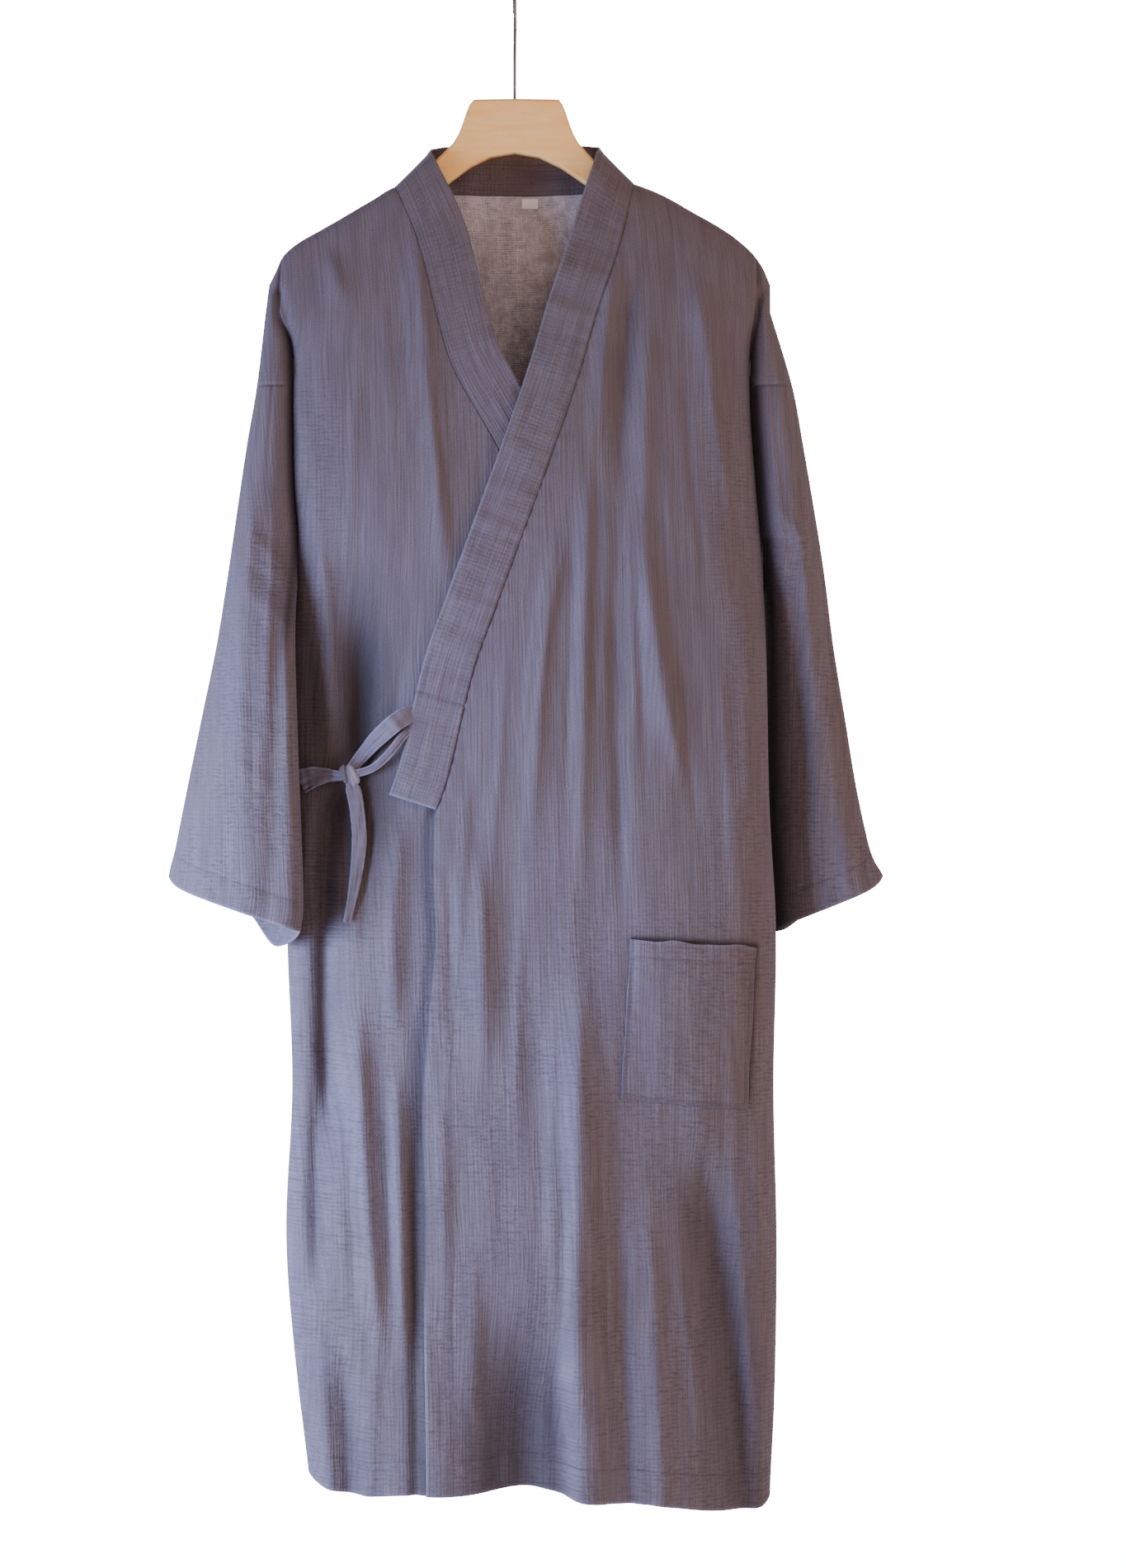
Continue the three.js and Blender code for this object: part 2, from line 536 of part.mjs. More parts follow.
add('front_over', wall(overGrid, cloth, {
  keep: keepPanel(mainOver),
  pin: pinPanel('over', mainOver, bandRow),
}), gauze);
add('front_under', wall(underGrid, cloth, {
  keep: keepPanel(mainUnder),
  pin: pinPanel('under', mainUnder, bandRow),
}), gauze);
add('back', wall(backPoints, cloth, {
  keep: (j, i) => j < capRow || (i >= firstMain && i < lastMain),
  pin: pinBack,
}), gauze);
['left', 'right'].forEach((name) => {
  const grid = sleeveGrid(name);
  const cols = grid[0].length;
  add(`sleeve_${name}`, wall(grid, cloth, {
    wrap: true,
    keep: (j, i) => i < cols - 1 || j >= sleeveArmpit,
    pin: (normal, j) => {
      if (j === 0) normal.z = 0;
    },
  }), gauze);
});

const neckRise = 0.7;        // the band's fold stands this far above the back's seam edge
const neckMargin = 6;        // the back's stations stop this short of the shoulder ones
const settle = 60;           // height over which the band comes down onto the front

// The collar is one folded band, its seam edge up the over front, round the neck, down the under front.
function collarGrid() {
  const stations = [];
  const frontStations = (side, grid) => {
    const list = [];
    for (let j = 0; j <= bandRow; j += 1) {
      list.push({ point: grid[j][0], across: acrossFront(side, grid[j][0].z), side });
    }
    return list;
  };
  stations.push(...frontStations('over', overGrid).reverse());
  const neck = backPoints[0].filter((point) => Math.abs(point.x) < neckHalf - neckMargin).reverse();
  neck.forEach((point) => {
    const t = Math.abs(point.x) / neckHalf;
    const across = new THREE.Vector3(-Math.sign(point.x) * 0.8 * t ** 3, 0.1 * (1 - t), 1).normalize();
    stations.push({ point: point.clone().addScaledVector(across, neckRise), across, side: 'back' });
  });
  stations.push(...frontStations('under', underGrid));
  return stations.map(({ point, across, side }) => [0, 0.5, 1].map((w) => {
    const place = point.clone().addScaledVector(across, seam + w * bandWidth);
    if (side !== 'back') {
      const flat = frontY(place.x, place.z, side) - frontY(point.x, point.z, side);
      place.y = point.y + flat * step((yoke + settle - point.z) / settle);
    }
    return place;
  }));
}

const collarPoints = collarGrid();
add('collar', wall(collarPoints, band, {
  pin: (normal, j, i) => {
    const across = collarPoints[j][2].clone().sub(collarPoints[j][0]).normalize();
    if (i === 0) normal.addScaledVector(across, -normal.dot(across));
  },
}), gauze);

// The pocket lies on the over front, made from its surface and moved out.
const pocket = { topLeft: [103, -859], topRight: [217, -866], lowLeft: [96, -1000], lowRight: [209, -1012] };
const pocketStand = 2.4;
const pocketGape = 2.5;      // the mouth stands off the front by this much more

const pocketCells = 8;

function pocketPoints() {
  const { topLeft, topRight, lowLeft, lowRight } = pocket;
  return spaced(pocketCells, (v) => spaced(pocketCells, (u) => {
    const [x, z] = [0, 1].map((k) => (
      lerp(lerp(topLeft[k], topRight[k], u), lerp(lowLeft[k], lowRight[k], u), v)));
    const gape = pocketGape * Math.sin(Math.PI * u) * (1 - step(2 * v));
    return new THREE.Vector3(x, frontY(x, z, 'over') - pocketStand - gape, z);
  }));
}
add('pocket', wall(pocketPoints(), cloth), gauze);

// Ties: flat strips about a route, each standing off the front by its own lift.
const tieThick = 1.4;

function strip(route, width, count) {
  const curve = new THREE.CatmullRomCurve3(route.map(([x, z, lift]) => (
    new THREE.Vector3(x, frontY(x, z, 'under') - lift, z))), false, 'centripetal');
  const grid = spaced(count, (v) => {
    const point = curve.getPoint(v);
    const along = curve.getTangent(v);
    const across = new THREE.Vector3(along.z, 0, -along.x).normalize();
    const wide = width(v) / 2;
    return [-1, 0, 1].map((w) => point.clone().addScaledVector(across, w * wide));
  });
  return wall(grid, tieThick);
}

// Each route gives x, z and the lift off the under front at its points, from the collar or the knot outwards.
const ties = {
  strap: {
    cells: 14,
    width: () => 13,
    route: [
      [-79, -653, 7.9], [-88, -656, 10.5], [-97, -660, 13.5], [-109, -668.5, 14.5], [-125, -682.5, 13.5],
      [-141, -700, 12],
    ],
  },
  loop: {
    cells: 12,
    width: (v) => lerp(10, 8, v),
    route: [[-94, -671, 11], [-104, -685, 10.5], [-115, -699, 9.5], [-127, -709, 9], [-141, -712.5, 9]],
  },
  side: {
    cells: 10,
    width: (v) => lerp(7, 13, v),
    route: [[-157.4, -713, 9], [-168, -711, 6.5], [-178, -711, 5], [-187, -713, 4.2], [-194, -716, 3.9]],
  },
  tail: {
    cells: 16,
    width: (v) => lerp(13, 7, step(2 * v - 1)),
    route: [[-151, -724, 9], [-144, -736, 9], [-141, -762, 8], [-143, -800, 7.5], [-151, -845, 7]],
  },
};
Object.entries(ties).forEach(([name, { route, width, cells }]) => {
  add(`tie_${name}`, strip(route, width, cells), gauze);
});

const knotAt = { x: -149, z: -713, lift: 10 };
const knotSize = { x: 8, y: 5, z: 8.5 };

function knot() {
  const geometry = new THREE.SphereGeometry(1, 14, 10);
  geometry.scale(knotSize.x, knotSize.y, knotSize.z);
  const y = frontY(knotAt.x, knotAt.z, 'under') - knotAt.lift;
  geometry.translate(knotAt.x, y, knotAt.z);
  ['normal', 'uv'].forEach((attribute) => geometry.deleteAttribute(attribute));
  return mergeVertices(geometry, 1e-4);
}
add('tie_knot', knot(), gauze);

// Bare label on the inside of the back, under the neck seam.
const label = { left: 6, right: 21, top: -184.5, bottom: -193.5, thick: 0.5 };

function labelPoints() {
  return spaced(2, (v) => spaced(3, (u) => {
    const x = lerp(label.left, label.right, u);
    const z = lerp(label.top, label.bottom, v);
    return new THREE.Vector3(x, backY(x, z) - cloth / 2 - seam - label.thick, z);
  }));
}
add('label', wall(labelPoints(), label.thick), tape);

// Hanger: one flat shaped board, drilled from above for the hook.
const board = { thick: 12, bevel: 2, top: -98.8 };
const drill = { radius: 1.8, depth: 26, sides: 16 };
const wire = { radius: 1.5, sides: 8, curve: 23, foot: -122.5 };

// Outline in X and Z: along the top, down the right arm, under it and the arch, then up the left arm.
function boardShape() {
  const shape = new THREE.Shape();
  shape.moveTo(-37, -99.5);
  shape.quadraticCurveTo(0, -98.2, 40, -99.5);
  shape.bezierCurveTo(47, -104, 49, -127, 58, -139);
  shape.bezierCurveTo(72, -156, 92, -175, 122, -189);
  shape.bezierCurveTo(156, -209, 188, -231, 202, -247);
  shape.bezierCurveTo(206, -253, 204, -263, 196, -265);
  shape.bezierCurveTo(172, -254, 128, -216, 100, -200);
  shape.bezierCurveTo(66, -183, 40, -148, 0, -147.5);
  shape.bezierCurveTo(-40, -148, -60, -180, -94, -201);
  shape.bezierCurveTo(-124, -219, -160, -252, -184, -265);
  shape.bezierCurveTo(-192, -267, -198, -258, -195, -251);
  shape.bezierCurveTo(-184, -239, -154, -217, -122, -196);
  shape.bezierCurveTo(-94, -176, -72, -156, -56, -139);
  shape.bezierCurveTo(-46, -127, -45, -104, -37, -99.5);
  return shape;
}

const solidOf = (wasm, geometry) => {
  ['normal', 'uv'].forEach((attribute) => geometry.deleteAttribute(attribute));
  const merged = mergeVertices(geometry, 1e-4);
  return new wasm.Manifold(new wasm.Mesh({
    numProp: 3,
    vertProperties: new Float32Array(merged.attributes.position.array),
    triVerts: new Uint32Array(merged.index.array),
  }));
};

async function hangerBoard() {
  const wasm = await Module();
  wasm.setup();
  const { thick, bevel, top } = board;
  const blank = new THREE.ExtrudeGeometry(boardShape(), {
    depth: thick - 2 * bevel,
    curveSegments: 5,
    bevelEnabled: true,
    bevelThickness: bevel,
    bevelSize: bevel,
    bevelOffset: -bevel,
    bevelSegments: 1,
  });
  blank.rotateX(Math.PI / 2);
  blank.translate(0, thick / 2 - bevel, 0);
  const hole = new THREE.CylinderGeometry(drill.radius, drill.radius, 2 * drill.depth, drill.sides);
  hole.rotateX(Math.PI / 2);
  hole.translate(0, 0, top);
  const cut = solidOf(wasm, blank).subtract(solidOf(wasm, hole)).getMesh();
  return closed(Array.from(cut.vertProperties), Array.from(cut.triVerts));
}
add('hanger', await hangerBoard(), wood);

// Hook: a straight shank and an open curve over the rail, in the plane across the hanger.
function hookGeometry() {
  const middle = wire.radius - wire.curve;
  const arc = (degrees) => new THREE.Vector3(
    0, wire.curve * Math.cos(rad(degrees)), middle + wire.curve * Math.sin(rad(degrees)));
  const route = new THREE.CatmullRomCurve3([
    new THREE.Vector3(0, 0, wire.foot), new THREE.Vector3(0, 0, -90), new THREE.Vector3(0, 0, -64),
    new THREE.Vector3(0, 5, -50), new THREE.Vector3(0, 16, -39), arc(-15), arc(15), arc(45), arc(75),
    arc(105), arc(135), arc(165), arc(190),
  ], false, 'centripetal');
  const section = new THREE.Shape();
  section.absarc(0, 0, wire.radius, 0, 2 * Math.PI);
  return new THREE.ExtrudeGeometry(section, {
    steps: 40, curveSegments: wire.sides / 2, extrudePath: route, bevelEnabled: false,
  });
}
add('hook', hookGeometry(), steel);

export default robe;
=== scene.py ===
import math
import bpy
import numpy as np
from mathutils import Matrix, Vector


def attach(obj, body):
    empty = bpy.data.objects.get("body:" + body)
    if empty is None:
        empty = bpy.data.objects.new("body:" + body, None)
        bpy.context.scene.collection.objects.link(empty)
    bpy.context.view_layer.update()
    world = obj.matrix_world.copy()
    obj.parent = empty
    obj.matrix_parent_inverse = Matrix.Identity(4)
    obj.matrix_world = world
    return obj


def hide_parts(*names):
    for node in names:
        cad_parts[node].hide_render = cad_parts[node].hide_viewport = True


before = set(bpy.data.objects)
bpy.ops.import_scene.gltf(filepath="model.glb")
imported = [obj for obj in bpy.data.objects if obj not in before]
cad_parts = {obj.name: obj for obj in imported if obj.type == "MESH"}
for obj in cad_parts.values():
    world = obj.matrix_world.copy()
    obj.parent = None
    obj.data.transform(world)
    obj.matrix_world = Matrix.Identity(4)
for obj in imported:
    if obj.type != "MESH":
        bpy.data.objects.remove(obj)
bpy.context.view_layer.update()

# Wrap kimono robe of washed double gauze on a beech hanger. Shapes are worked out in mm, put in as metres.
mm = 0.001
scene = bpy.context.scene


def smooth(t):  # 0 to 1 with a soft start and end
    c = np.clip(t, 0, 1)
    return c * c * (3 - 2 * c)


def bell(d, half):  # a soft bump of the given half width
    return np.exp(-(d / half) ** 2)


def mix(a, b, t):  # the value at share t of the way from a to b
    return a + (b - a) * t


def column(table, name, key="z"):
    # cubic through one column of a table whose key falls, with slopes from the neighbouring rows
    at = np.array([row[key] for row in table], float)[::-1]
    value = np.array([row[name] for row in table], float)[::-1]
    k = np.arange(len(at))
    a, b = np.maximum(k - 1, 0), np.minimum(k + 1, len(at) - 1)
    slope = (value[b] - value[a]) / (at[b] - at[a])

    def read(q):  # the cubic of the span that q falls in
        q = np.clip(np.asarray(q, float), at[0], at[-1])
        i = np.clip(np.searchsorted(at, q, side="right") - 1, 0, len(at) - 2)
        span = at[i + 1] - at[i]
        t = (q - at[i]) / span
        level = mix(value[i], value[i + 1], t * t * (3 - 2 * t))
        return level + span * t * (1 - t) * ((1 - t) * slope[i] - t * slope[i + 1])
    return read


def ripple(u, v, seed, count=5, longest=1.0):
    # smooth wandering waves of about unit size: sines in turned directions with lengths down from the longest
    rng = np.random.default_rng(seed)
    total = 0
    for k in range(count):
        turn, shift = rng.uniform(0, 2 * math.pi, 2)
        length = longest * rng.uniform(0.45, 1.0)
        total = total + np.sin(2 * math.pi * (u * math.cos(turn) + v * math.sin(turn)) / length + shift)
    return total / math.sqrt(count)


# The robe's own sizes in mm, as in its solids. Cloth and band are the thicknesses drawn.
robe = {
    "cloth": 1.1, "band": 2.0, "seam": 0.3, "bandWidth": 45,
    "hemLeft": -1350, "hemRight": -1362, "armpit": -500, "capEnd": -360, "yoke": -293,
    "neckHalf": 108, "neckLevel": -182, "underDepth": 3.4, "overDepth": 1.8,
    "roundRadius": 9, "slopeLength": 160, "fullness": 2.5, "edgeFade": 40, "groove": 1.1,
    "hemLift": 8, "liftHalf": 40, "bandEnd": -744, "neckLow": -262, "neckRise": 0.7,
    "tip": -243, "capTip": {"left": -223, "right": 232}, "cuff": -812,
}
seam = robe["seam"]
hemLeft, hemRight, bandEnd = robe["hemLeft"], robe["hemRight"], robe["bandEnd"]
armpit, capEnd, yoke = robe["armpit"], robe["capEnd"], robe["yoke"]
neckHalf, groove = robe["neckHalf"], robe["groove"]
tip, cuff = robe["tip"], robe["cuff"]
toMiddle = {"left": 1, "right": -1}


def table(names, rows):
    # rows of numbers as dictionaries keyed by the names
    return [dict(zip(names.split(), row)) for row in rows]


shoulder = table("x z", [
    (232, -268), (224, -250), (212, -235.5), (191, -219), (160, -201), (136, -187.5), (108, -176.5),
    (0, -148), (-108, -179), (-130, -191), (-175, -217.5), (-198, -231), (-211, -243), (-217, -256),
    (-223, -268)])
shoulderZ = column(shoulder, "z", "x")

body = table("z left right front back leftY rightY join", [
    (tip, -211, 219, 36, 36, 0, 0, 9.5), (-293, -213, 218, 38, 40, 0, 0, 9.5),
    (-322, -202, 214, 39, 42, 0, 0, 8), (-383, -201, 214, 42, 45, 0, -1, 6),
    (-450, -200, 219, 45, 48, 1, -2, 5), (armpit, -197, 223, 47, 50, 3, -4, 0),
    (-595, -203, 228, 51, 54, 13, -8, 0), (-740, -207, 231, 57, 60, 18, -10, 0),
    (-855, -208, 237, 62, 65, 16, -8, 0), (-993, -203, 235, 68, 70, 12, -5, 0),
    (-1133, -208, 238, 73, 75, 8, -2, 0), (-1268, -197, 236, 77, 79, 5, 0, 0),
    (hemLeft, -187, 232, 79, 82, 3, 0, 0)])
bodyAt = {name: column(body, name) for name in body[0]}

overX = column(table("z x", [
    (-176, 108), (-234, 95), (-303, 73), (-354, 58), (-428, 33), (-513, 2), (-568, -18), (-619, -36),
    (-719, -60), (-744, -69), (-756, -72), (-900, -74), (-1030, -79), (hemLeft, -79)]), "x")
underX = column(table("z x", [
    (-179, -108), (-230, -87), (-305, -68), (-350, -53), (-425, -11), (-520, 27), (-640, 60), (-744, 82),
    (-760, 84), (hemRight, 84)]), "x")

# Folds: x at the top, middle and end, heights of top and end, half width, depth, rise and fall in mm.
# The first 24 of the fronts and the first 12 of the back are also in the solids.
frontFolds = [
    (-92, -74, -60, -211, -560, 10, 5, 60, 90), (-172, -160, -152, -229, -300, 12, 4, 30, 30),
    (-190, -170, -160, -440, -703, 12, 5, 90, 60), (-140, -139, -137, -545, -712, 15, -13, 90, 20),
    (-163, -173, -162, -718, -1080, 14, -12, 25, 120), (-142, -132, -118, -900, -1250, 13, 8, 90, 90),
    (-106, -101, -96, -960, -1260, 10, 6, 80, 90), (-180, -180, -176, -975, -1190, 11, -6, 70, 60),
    (-100, -108, -104, -745, -960, 12, 5, 50, 80), (-160, -150, -146, -1190, hemLeft, 16, -7, 90, 0),
    (93, 81, 77, -235, -430, 9, 4, 50, 80), (105, 98, 95, -250, -480, 10, -5, 50, 90),
    (121, 118, 117, -290, -520, 10, 4, 60, 70), (160, 182, 202, -250, -500, 12, 6, 60, 70),
    (112, 128, 156, -460, -740, 13, 7, 90, 90), (202, 214, 202, -520, -790, 12, 5, 70, 80),
    (40, 24, 14, -470, -800, 9, 3.5, 80, 110), (66, 62, 60, -430, -840, 9, 4, 80, 130),
    (90, 92, 98, -520, -850, 9, -4, 80, 120), (-30, -28, -24, -760, -1010, 14, 5, 80, 120),
    (62, 56, 60, -860, hemRight, 18, 11, 160, 0), (164, 186, 206, -1020, hemRight, 28, -13, 110, 0),
    (120, 126, 132, -1060, hemRight, 17, 6, 120, 0), (4, 8, 10, -1150, hemRight, 42, -30, 190, 0),
]
backFolds = [
    (-60, -72, -84, -260, -700, 16, 6, 90, 160), (18, 10, 4, -220, -780, 15, -6, 80, 200),
    (74, 88, 104, -250, -660, 15, 6, 80, 140), (-150, -172, -184, -300, -640, 14, 6, 60, 110),
    (160, 184, 198, -290, -620, 14, 6, 60, 110), (-120, -128, -134, -560, -1130, 18, -9, 150, 200),
    (-30, -36, -44, -700, hemLeft, 20, 9, 200, 0), (46, 50, 58, -820, hemLeft, 24, -16, 240, 0),
    (120, 112, 110, -640, hemLeft, 20, 9, 200, 0), (176, 182, 186, -760, -1260, 17, -8, 160, 160),
    (-100, -98, -104, -1000, hemLeft, 22, -13, 170, 0), (-160, -164, -160, -960, hemLeft, 17, 7, 150, 0),
]
# Finer creases and gathers, in the same form.
frontCreases = [
    (-102, -92, -88, -240, -420, 4, 1.6, 40, 60), (-84, -66, -52, -300, -520, 4, -1.6, 50, 70),
    (-120, -112, -108, -260, -480, 5, 1.4, 50, 80), (-140, -146, -150, -330, -560, 5, 1.5, 60, 80),
    (-188, -184, -178, -300, -430, 4, -1.5, 40, 50), (-176, -166, -164, -500, -640, 4, 1.6, 40, 40),
    (-192, -184, -182, -560, -690, 4, -1.6, 40, 40), (-112, -118, -121, -560, -700, 5, 2.2, 60, 30),
    (-96, -104, -112, -590, -690, 4, -1.6, 40, 30), (-154, -152, -150, -600, -700, 4, 2.0, 40, 20),
    (-150, -157, -160, -735, -860, 4, 2.0, 20, 60), (-186, -188, -190, -735, -830, 4, 1.6, 20, 50),
    (-128, -134, -138, -735, -900, 5, -1.8, 30, 70), (-116, -112, -110, -980, -1200, 4, -1.8, 60, 80),
    (-150, -146, -140, -1000, -1210, 4, -1.6, 60, 80), (-88, -88, -87, -1010, hemLeft, 5, -3.0, 80, 0),
    (-124, -126, -130, -1200, hemLeft, 6, 2.0, 70, 0), (-172, -170, -166, -1230, hemLeft, 6, 2.2, 50, 0),
    (52, 30, 20, -480, -700, 3.5, 1.3, 60, 80), (30, 14, 4, -520, -730, 3.5, 1.3, 60, 80),
    (76, 72, 70, -400, -720, 3.5, -1.5, 80, 90), (84, 82, 80, -430, -700, 3.5, 1.4, 80, 90),
    (54, 50, 46, -470, -760, 3.5, -1.5, 70, 90), (102, 106, 112, -440, -720, 4, 1.5, 70, 90),
    (110, 113, 120, -500, -760, 3.5, -1.5, 70, 90), (134, 140, 148, -380, -610, 4, 1.4, 70, 80),
    (150, 160, 176, -330, -560, 4, -1.7, 60, 80), (172, 190, 206, -320, -520, 4, -1.8, 50, 60),
    (140, 152, 166, -560, -780, 5, -1.8, 60, 80), (180, 192, 200, -600, -840, 5, 1.8, 70, 90),
    (222, 223, 218, -560, -760, 4, -1.5, 60, 60), (-6, -14, -18, -600, -820, 4, 1.5, 60, 80),
    (-40, -46, -50, -700, -900, 5, 1.6, 50, 80), (-58, -56, -56, -780, -960, 4, -1.5, 50, 70),
    (10, 4, 2, -800, -1040, 5, 1.4, 70, 90), (36, 34, 36, -900, -1180, 5, 1.6, 90, 90),
    (74, 76, 80, -960, -1250, 5, -2.2, 90, 80), (48, 44, 46, -1040, hemRight, 5, -2.0, 90, 0),
    (94, 98, 104, -1080, hemRight, 7, -3.2, 90, 0), (146, 158, 170, -1120, -1330, 6, 2.2, 80, 60),
    (-188, -174, -168, -540, -706, 8, 3.4, 80, 20), (214, 218, 220, -900, -1180, 6, 2.0, 80, 80),
    (196, 204, 214, -1040, -1300, 6, 1.8, 80, 70), (-36, -34, -34, -1120, -1300, 7, 1.2, 80, 60),
    (74, 72, 74, -930, hemRight, 12, 4.5, 160, 0), (38, 38, 40, -1150, hemRight, 8, -4.5, 150, 0),
    (120, 126, 132, -1060, hemRight, 17, -2.2, 120, 0), (-64, -62, -60, -1000, -1240, 6, 1.3, 80, 90),
]


def foldDepth(folds, x, z):
    # a bell across each fold about a quadratic path, with a smooth rise and fall along it
    total = np.zeros(np.broadcast(x, z).shape)
    for a, b, c, top, end, half, depth, rise, fall in folds:
        q = np.clip((top - z) / (top - end), 0, 1)
        path = a * (1 - q) * (1 - 2 * q) + 4 * b * q * (1 - q) + c * q * (2 * q - 1)
        fade = smooth((z - end) / fall) if fall else 1.0
        total = total + depth * smooth((top - z) / rise) * fade * bell(x - path, half)
    return total


def quarter(s):
    # height of a quarter of a unit circle at share s of its width
    return np.sqrt(np.maximum(0, 1 - (1 - np.clip(s, 0, 1)) ** 2))


def joinAt(z):
    # half the space over the hanger's edge; below the yoke the armhole sinks into a groove
    sunk = mix(0.22, 1, smooth((z + 342) / 44))
    return np.where(z > armpit, np.maximum(0, bodyAt["join"](z)), 0.0) * sunk


def halfDepth(face, x, z):
    # a superellipse between the two sides, rounded over below the shoulder, outside the space over the hanger
    left, right = bodyAt["left"](z), bodyAt["right"](z)
    across = np.clip(np.abs(2 * x - left - right) / (right - left), 0, 1)
    below = np.maximum(0, shoulderZ(x) - z)
    join = joinAt(z)
    plan = (1 - across ** robe["fullness"]) ** (1 / robe["fullness"])
    wide = (bodyAt[face](z) - join) * plan * quarter(below / robe["slopeLength"])
    return join * quarter(below / robe["roundRadius"]) + wide


def middleY(x, z):
    # straight from the Y of the left side to that of the right one
    left, right = bodyAt["left"](z), bodyAt["right"](z)
    return mix(bodyAt["leftY"](z), bodyAt["rightY"](z), np.clip((x - left) / (right - left), 0, 1))


def nearEdge(x, z, fade=robe["edgeFade"]):
    # 0 on the side seams and the shoulder, 1 from fade mm inside them
    side = np.minimum(x - bodyAt["left"](z), bodyAt["right"](z) - x)
    return smooth(side / fade) * smooth((shoulderZ(x) - z) / fade)


layerDepth = {"over": -robe["overDepth"], "under": robe["underDepth"]}
# each fold but the widest of the front has a sharper core: shares of its half width and of its depth
core = {"half": 0.42, "front": 0.42, "back": 0.4}


def sharpened(folds, share):
    # the same folds, narrower and shallower
    return [(a, b, c, top, end, half * core["half"], depth * share, rise, fall)
            for a, b, c, top, end, half, depth, rise, fall in folds]


frontSharp = sharpened(frontFolds[:-1], core["front"])
backSharp = sharpened(backFolds, core["back"])


def slackWaves(x, z, seed):
    # low uneven billows of the hanging cloth, longer down than across
    return 1.1 * ripple(x, z / 6, seed, 6, 95) + 0.5 * ripple(x, z / 8, seed + 1, 6, 38)


def frontY(x, z, which, fine=True):
    # half the body's depth in front of its middle, moved by the layer and the folds, fine creases over them
    fold = layerDepth[which] - foldDepth(frontFolds, x, z)
    y = middleY(x, z) - seam / 2 - halfDepth("front", x, z) + fold * nearEdge(x, z)
    if fine:
        low = smooth((-600 - z) / 400)
        fineFolds = mix(0.8, 1.4, low) * foldDepth(frontCreases, x, z)
        fineFolds = fineFolds + mix(0.5, 1.0, low) * foldDepth(frontSharp, x, z)
        y = y - (fineFolds + mix(0.4, 1.1, low) * slackWaves(x, z, 11)) * nearEdge(x, z, 22)
    return y


def backY(x, z):
    # half the body's depth behind its middle, with the folds and fine creases on it
    y = middleY(x, z) + seam / 2 + halfDepth("back", x, z) + foldDepth(backFolds, x, z) * nearEdge(x, z)
    return y + (foldDepth(backSharp, x, z) + slackWaves(x, z, 31)) * nearEdge(x, z, 26)


def sideY(name, sign, x, z):
    # a panel's outer edge: on the side seam below the armpit, half the armhole's space off it above
    join = joinAt(z) * quarter(np.maximum(0, shoulderZ(x) - z) / robe["roundRadius"])
    return bodyAt[name + "Y"](z) + sign * join


# The hem's corners at the side seams are round, from an x outwards, and it sags beside them.
hemShape = {"slopeFrom": -850, "leftCorner": 15, "leftFrom": -162, "leftWide": 30, "rightCorner": 13,
            "rightFrom": 215, "rightWide": 19, "leftSag": 5, "sagAt": -140, "rightSag": 10, "sagFrom": 110,
            "roundness": 2.4, "cornersFrom": -1220}


def hemDrop(x, z, lifted):
    # height added to a level: the slope from left to right, the corners, and the fronts' lift in the middle
    h = hemShape
    share = smooth((h["slopeFrom"] - z) / (h["slopeFrom"] - hemLeft))
    left, right = bodyAt["left"](z), bodyAt["right"](z)
    slope = (hemRight - hemLeft) * np.clip((x - left) / (right - left), 0, 1)
    leftRound = h["leftCorner"] * np.clip((h["leftFrom"] - x) / h["leftWide"], 0, 1) ** h["roundness"]
    rightRound = h["rightCorner"] * np.clip((x - h["rightFrom"]) / h["rightWide"], 0, 1) ** h["roundness"]
    sag = h["leftSag"] * bell(x - h["sagAt"], 35) + h["rightSag"] * smooth((x - h["sagFrom"]) / 90)
    corners = (leftRound + rightRound - sag) * smooth((h["cornersFrom"] - z) / 130)
    return corners + share * (slope + (robe["hemLift"] * bell(x - 10, robe["liftHalf"]) if lifted else 0))


def sleeveTable(rows):
    # places of a sleeve's outer and inner edges and half its depth, keyed by the height of the outer edge
    return table("outX outZ inX inZ outY inY half", rows)


sleeves = {
    "left": sleeveTable([
        (-226, -293, -213, -293, 0, 0, 12), (-234, capEnd, -202, capEnd, 0, 0, 17),
        (-243, -413, -201, -413, 0, 0, 22),
        (-256, armpit, -199, armpit, 2, 2, 30), (-262, -540, -198.5, -545, 3, -14, 31),
        (-271, -595, -197, -605, 4, -34, 33), (-285, -663, -193.5, -683, 4, -47, 35),
        (-298.5, -730, -190, -759, 2, -54, 37), (-311, -795, -187.5, -832, 0, -58, 38),
        (-314, cuff, -190, -852, 0, -58, 38)]),
    "right": sleeveTable([
        (232, -293, 218, -293, 0, 0, 12), (252, capEnd, 214, capEnd, 0, 0, 17),
        (262, -413, 216, -413, 2, 0, 22), (277, armpit, 226, armpit, 6, 2, 28),
        (283, -540, 228, -545, 8, 16, 29), (290, -595, 228, -605, 10, 32, 31),
        (301, -663, 227, -683, 10, 44, 33), (312, -730, 226, -759, 8, 50, 35),
        (327, -795, 226, -838, 6, 52, 36), (335, cuff, 227, -858, 6, 52, 36)]),
}
sleeveAt = {side: {name: column(rows, name, "outZ") for name in rows[0]} for side, rows in sleeves.items()}
lowGap = math.radians(11)

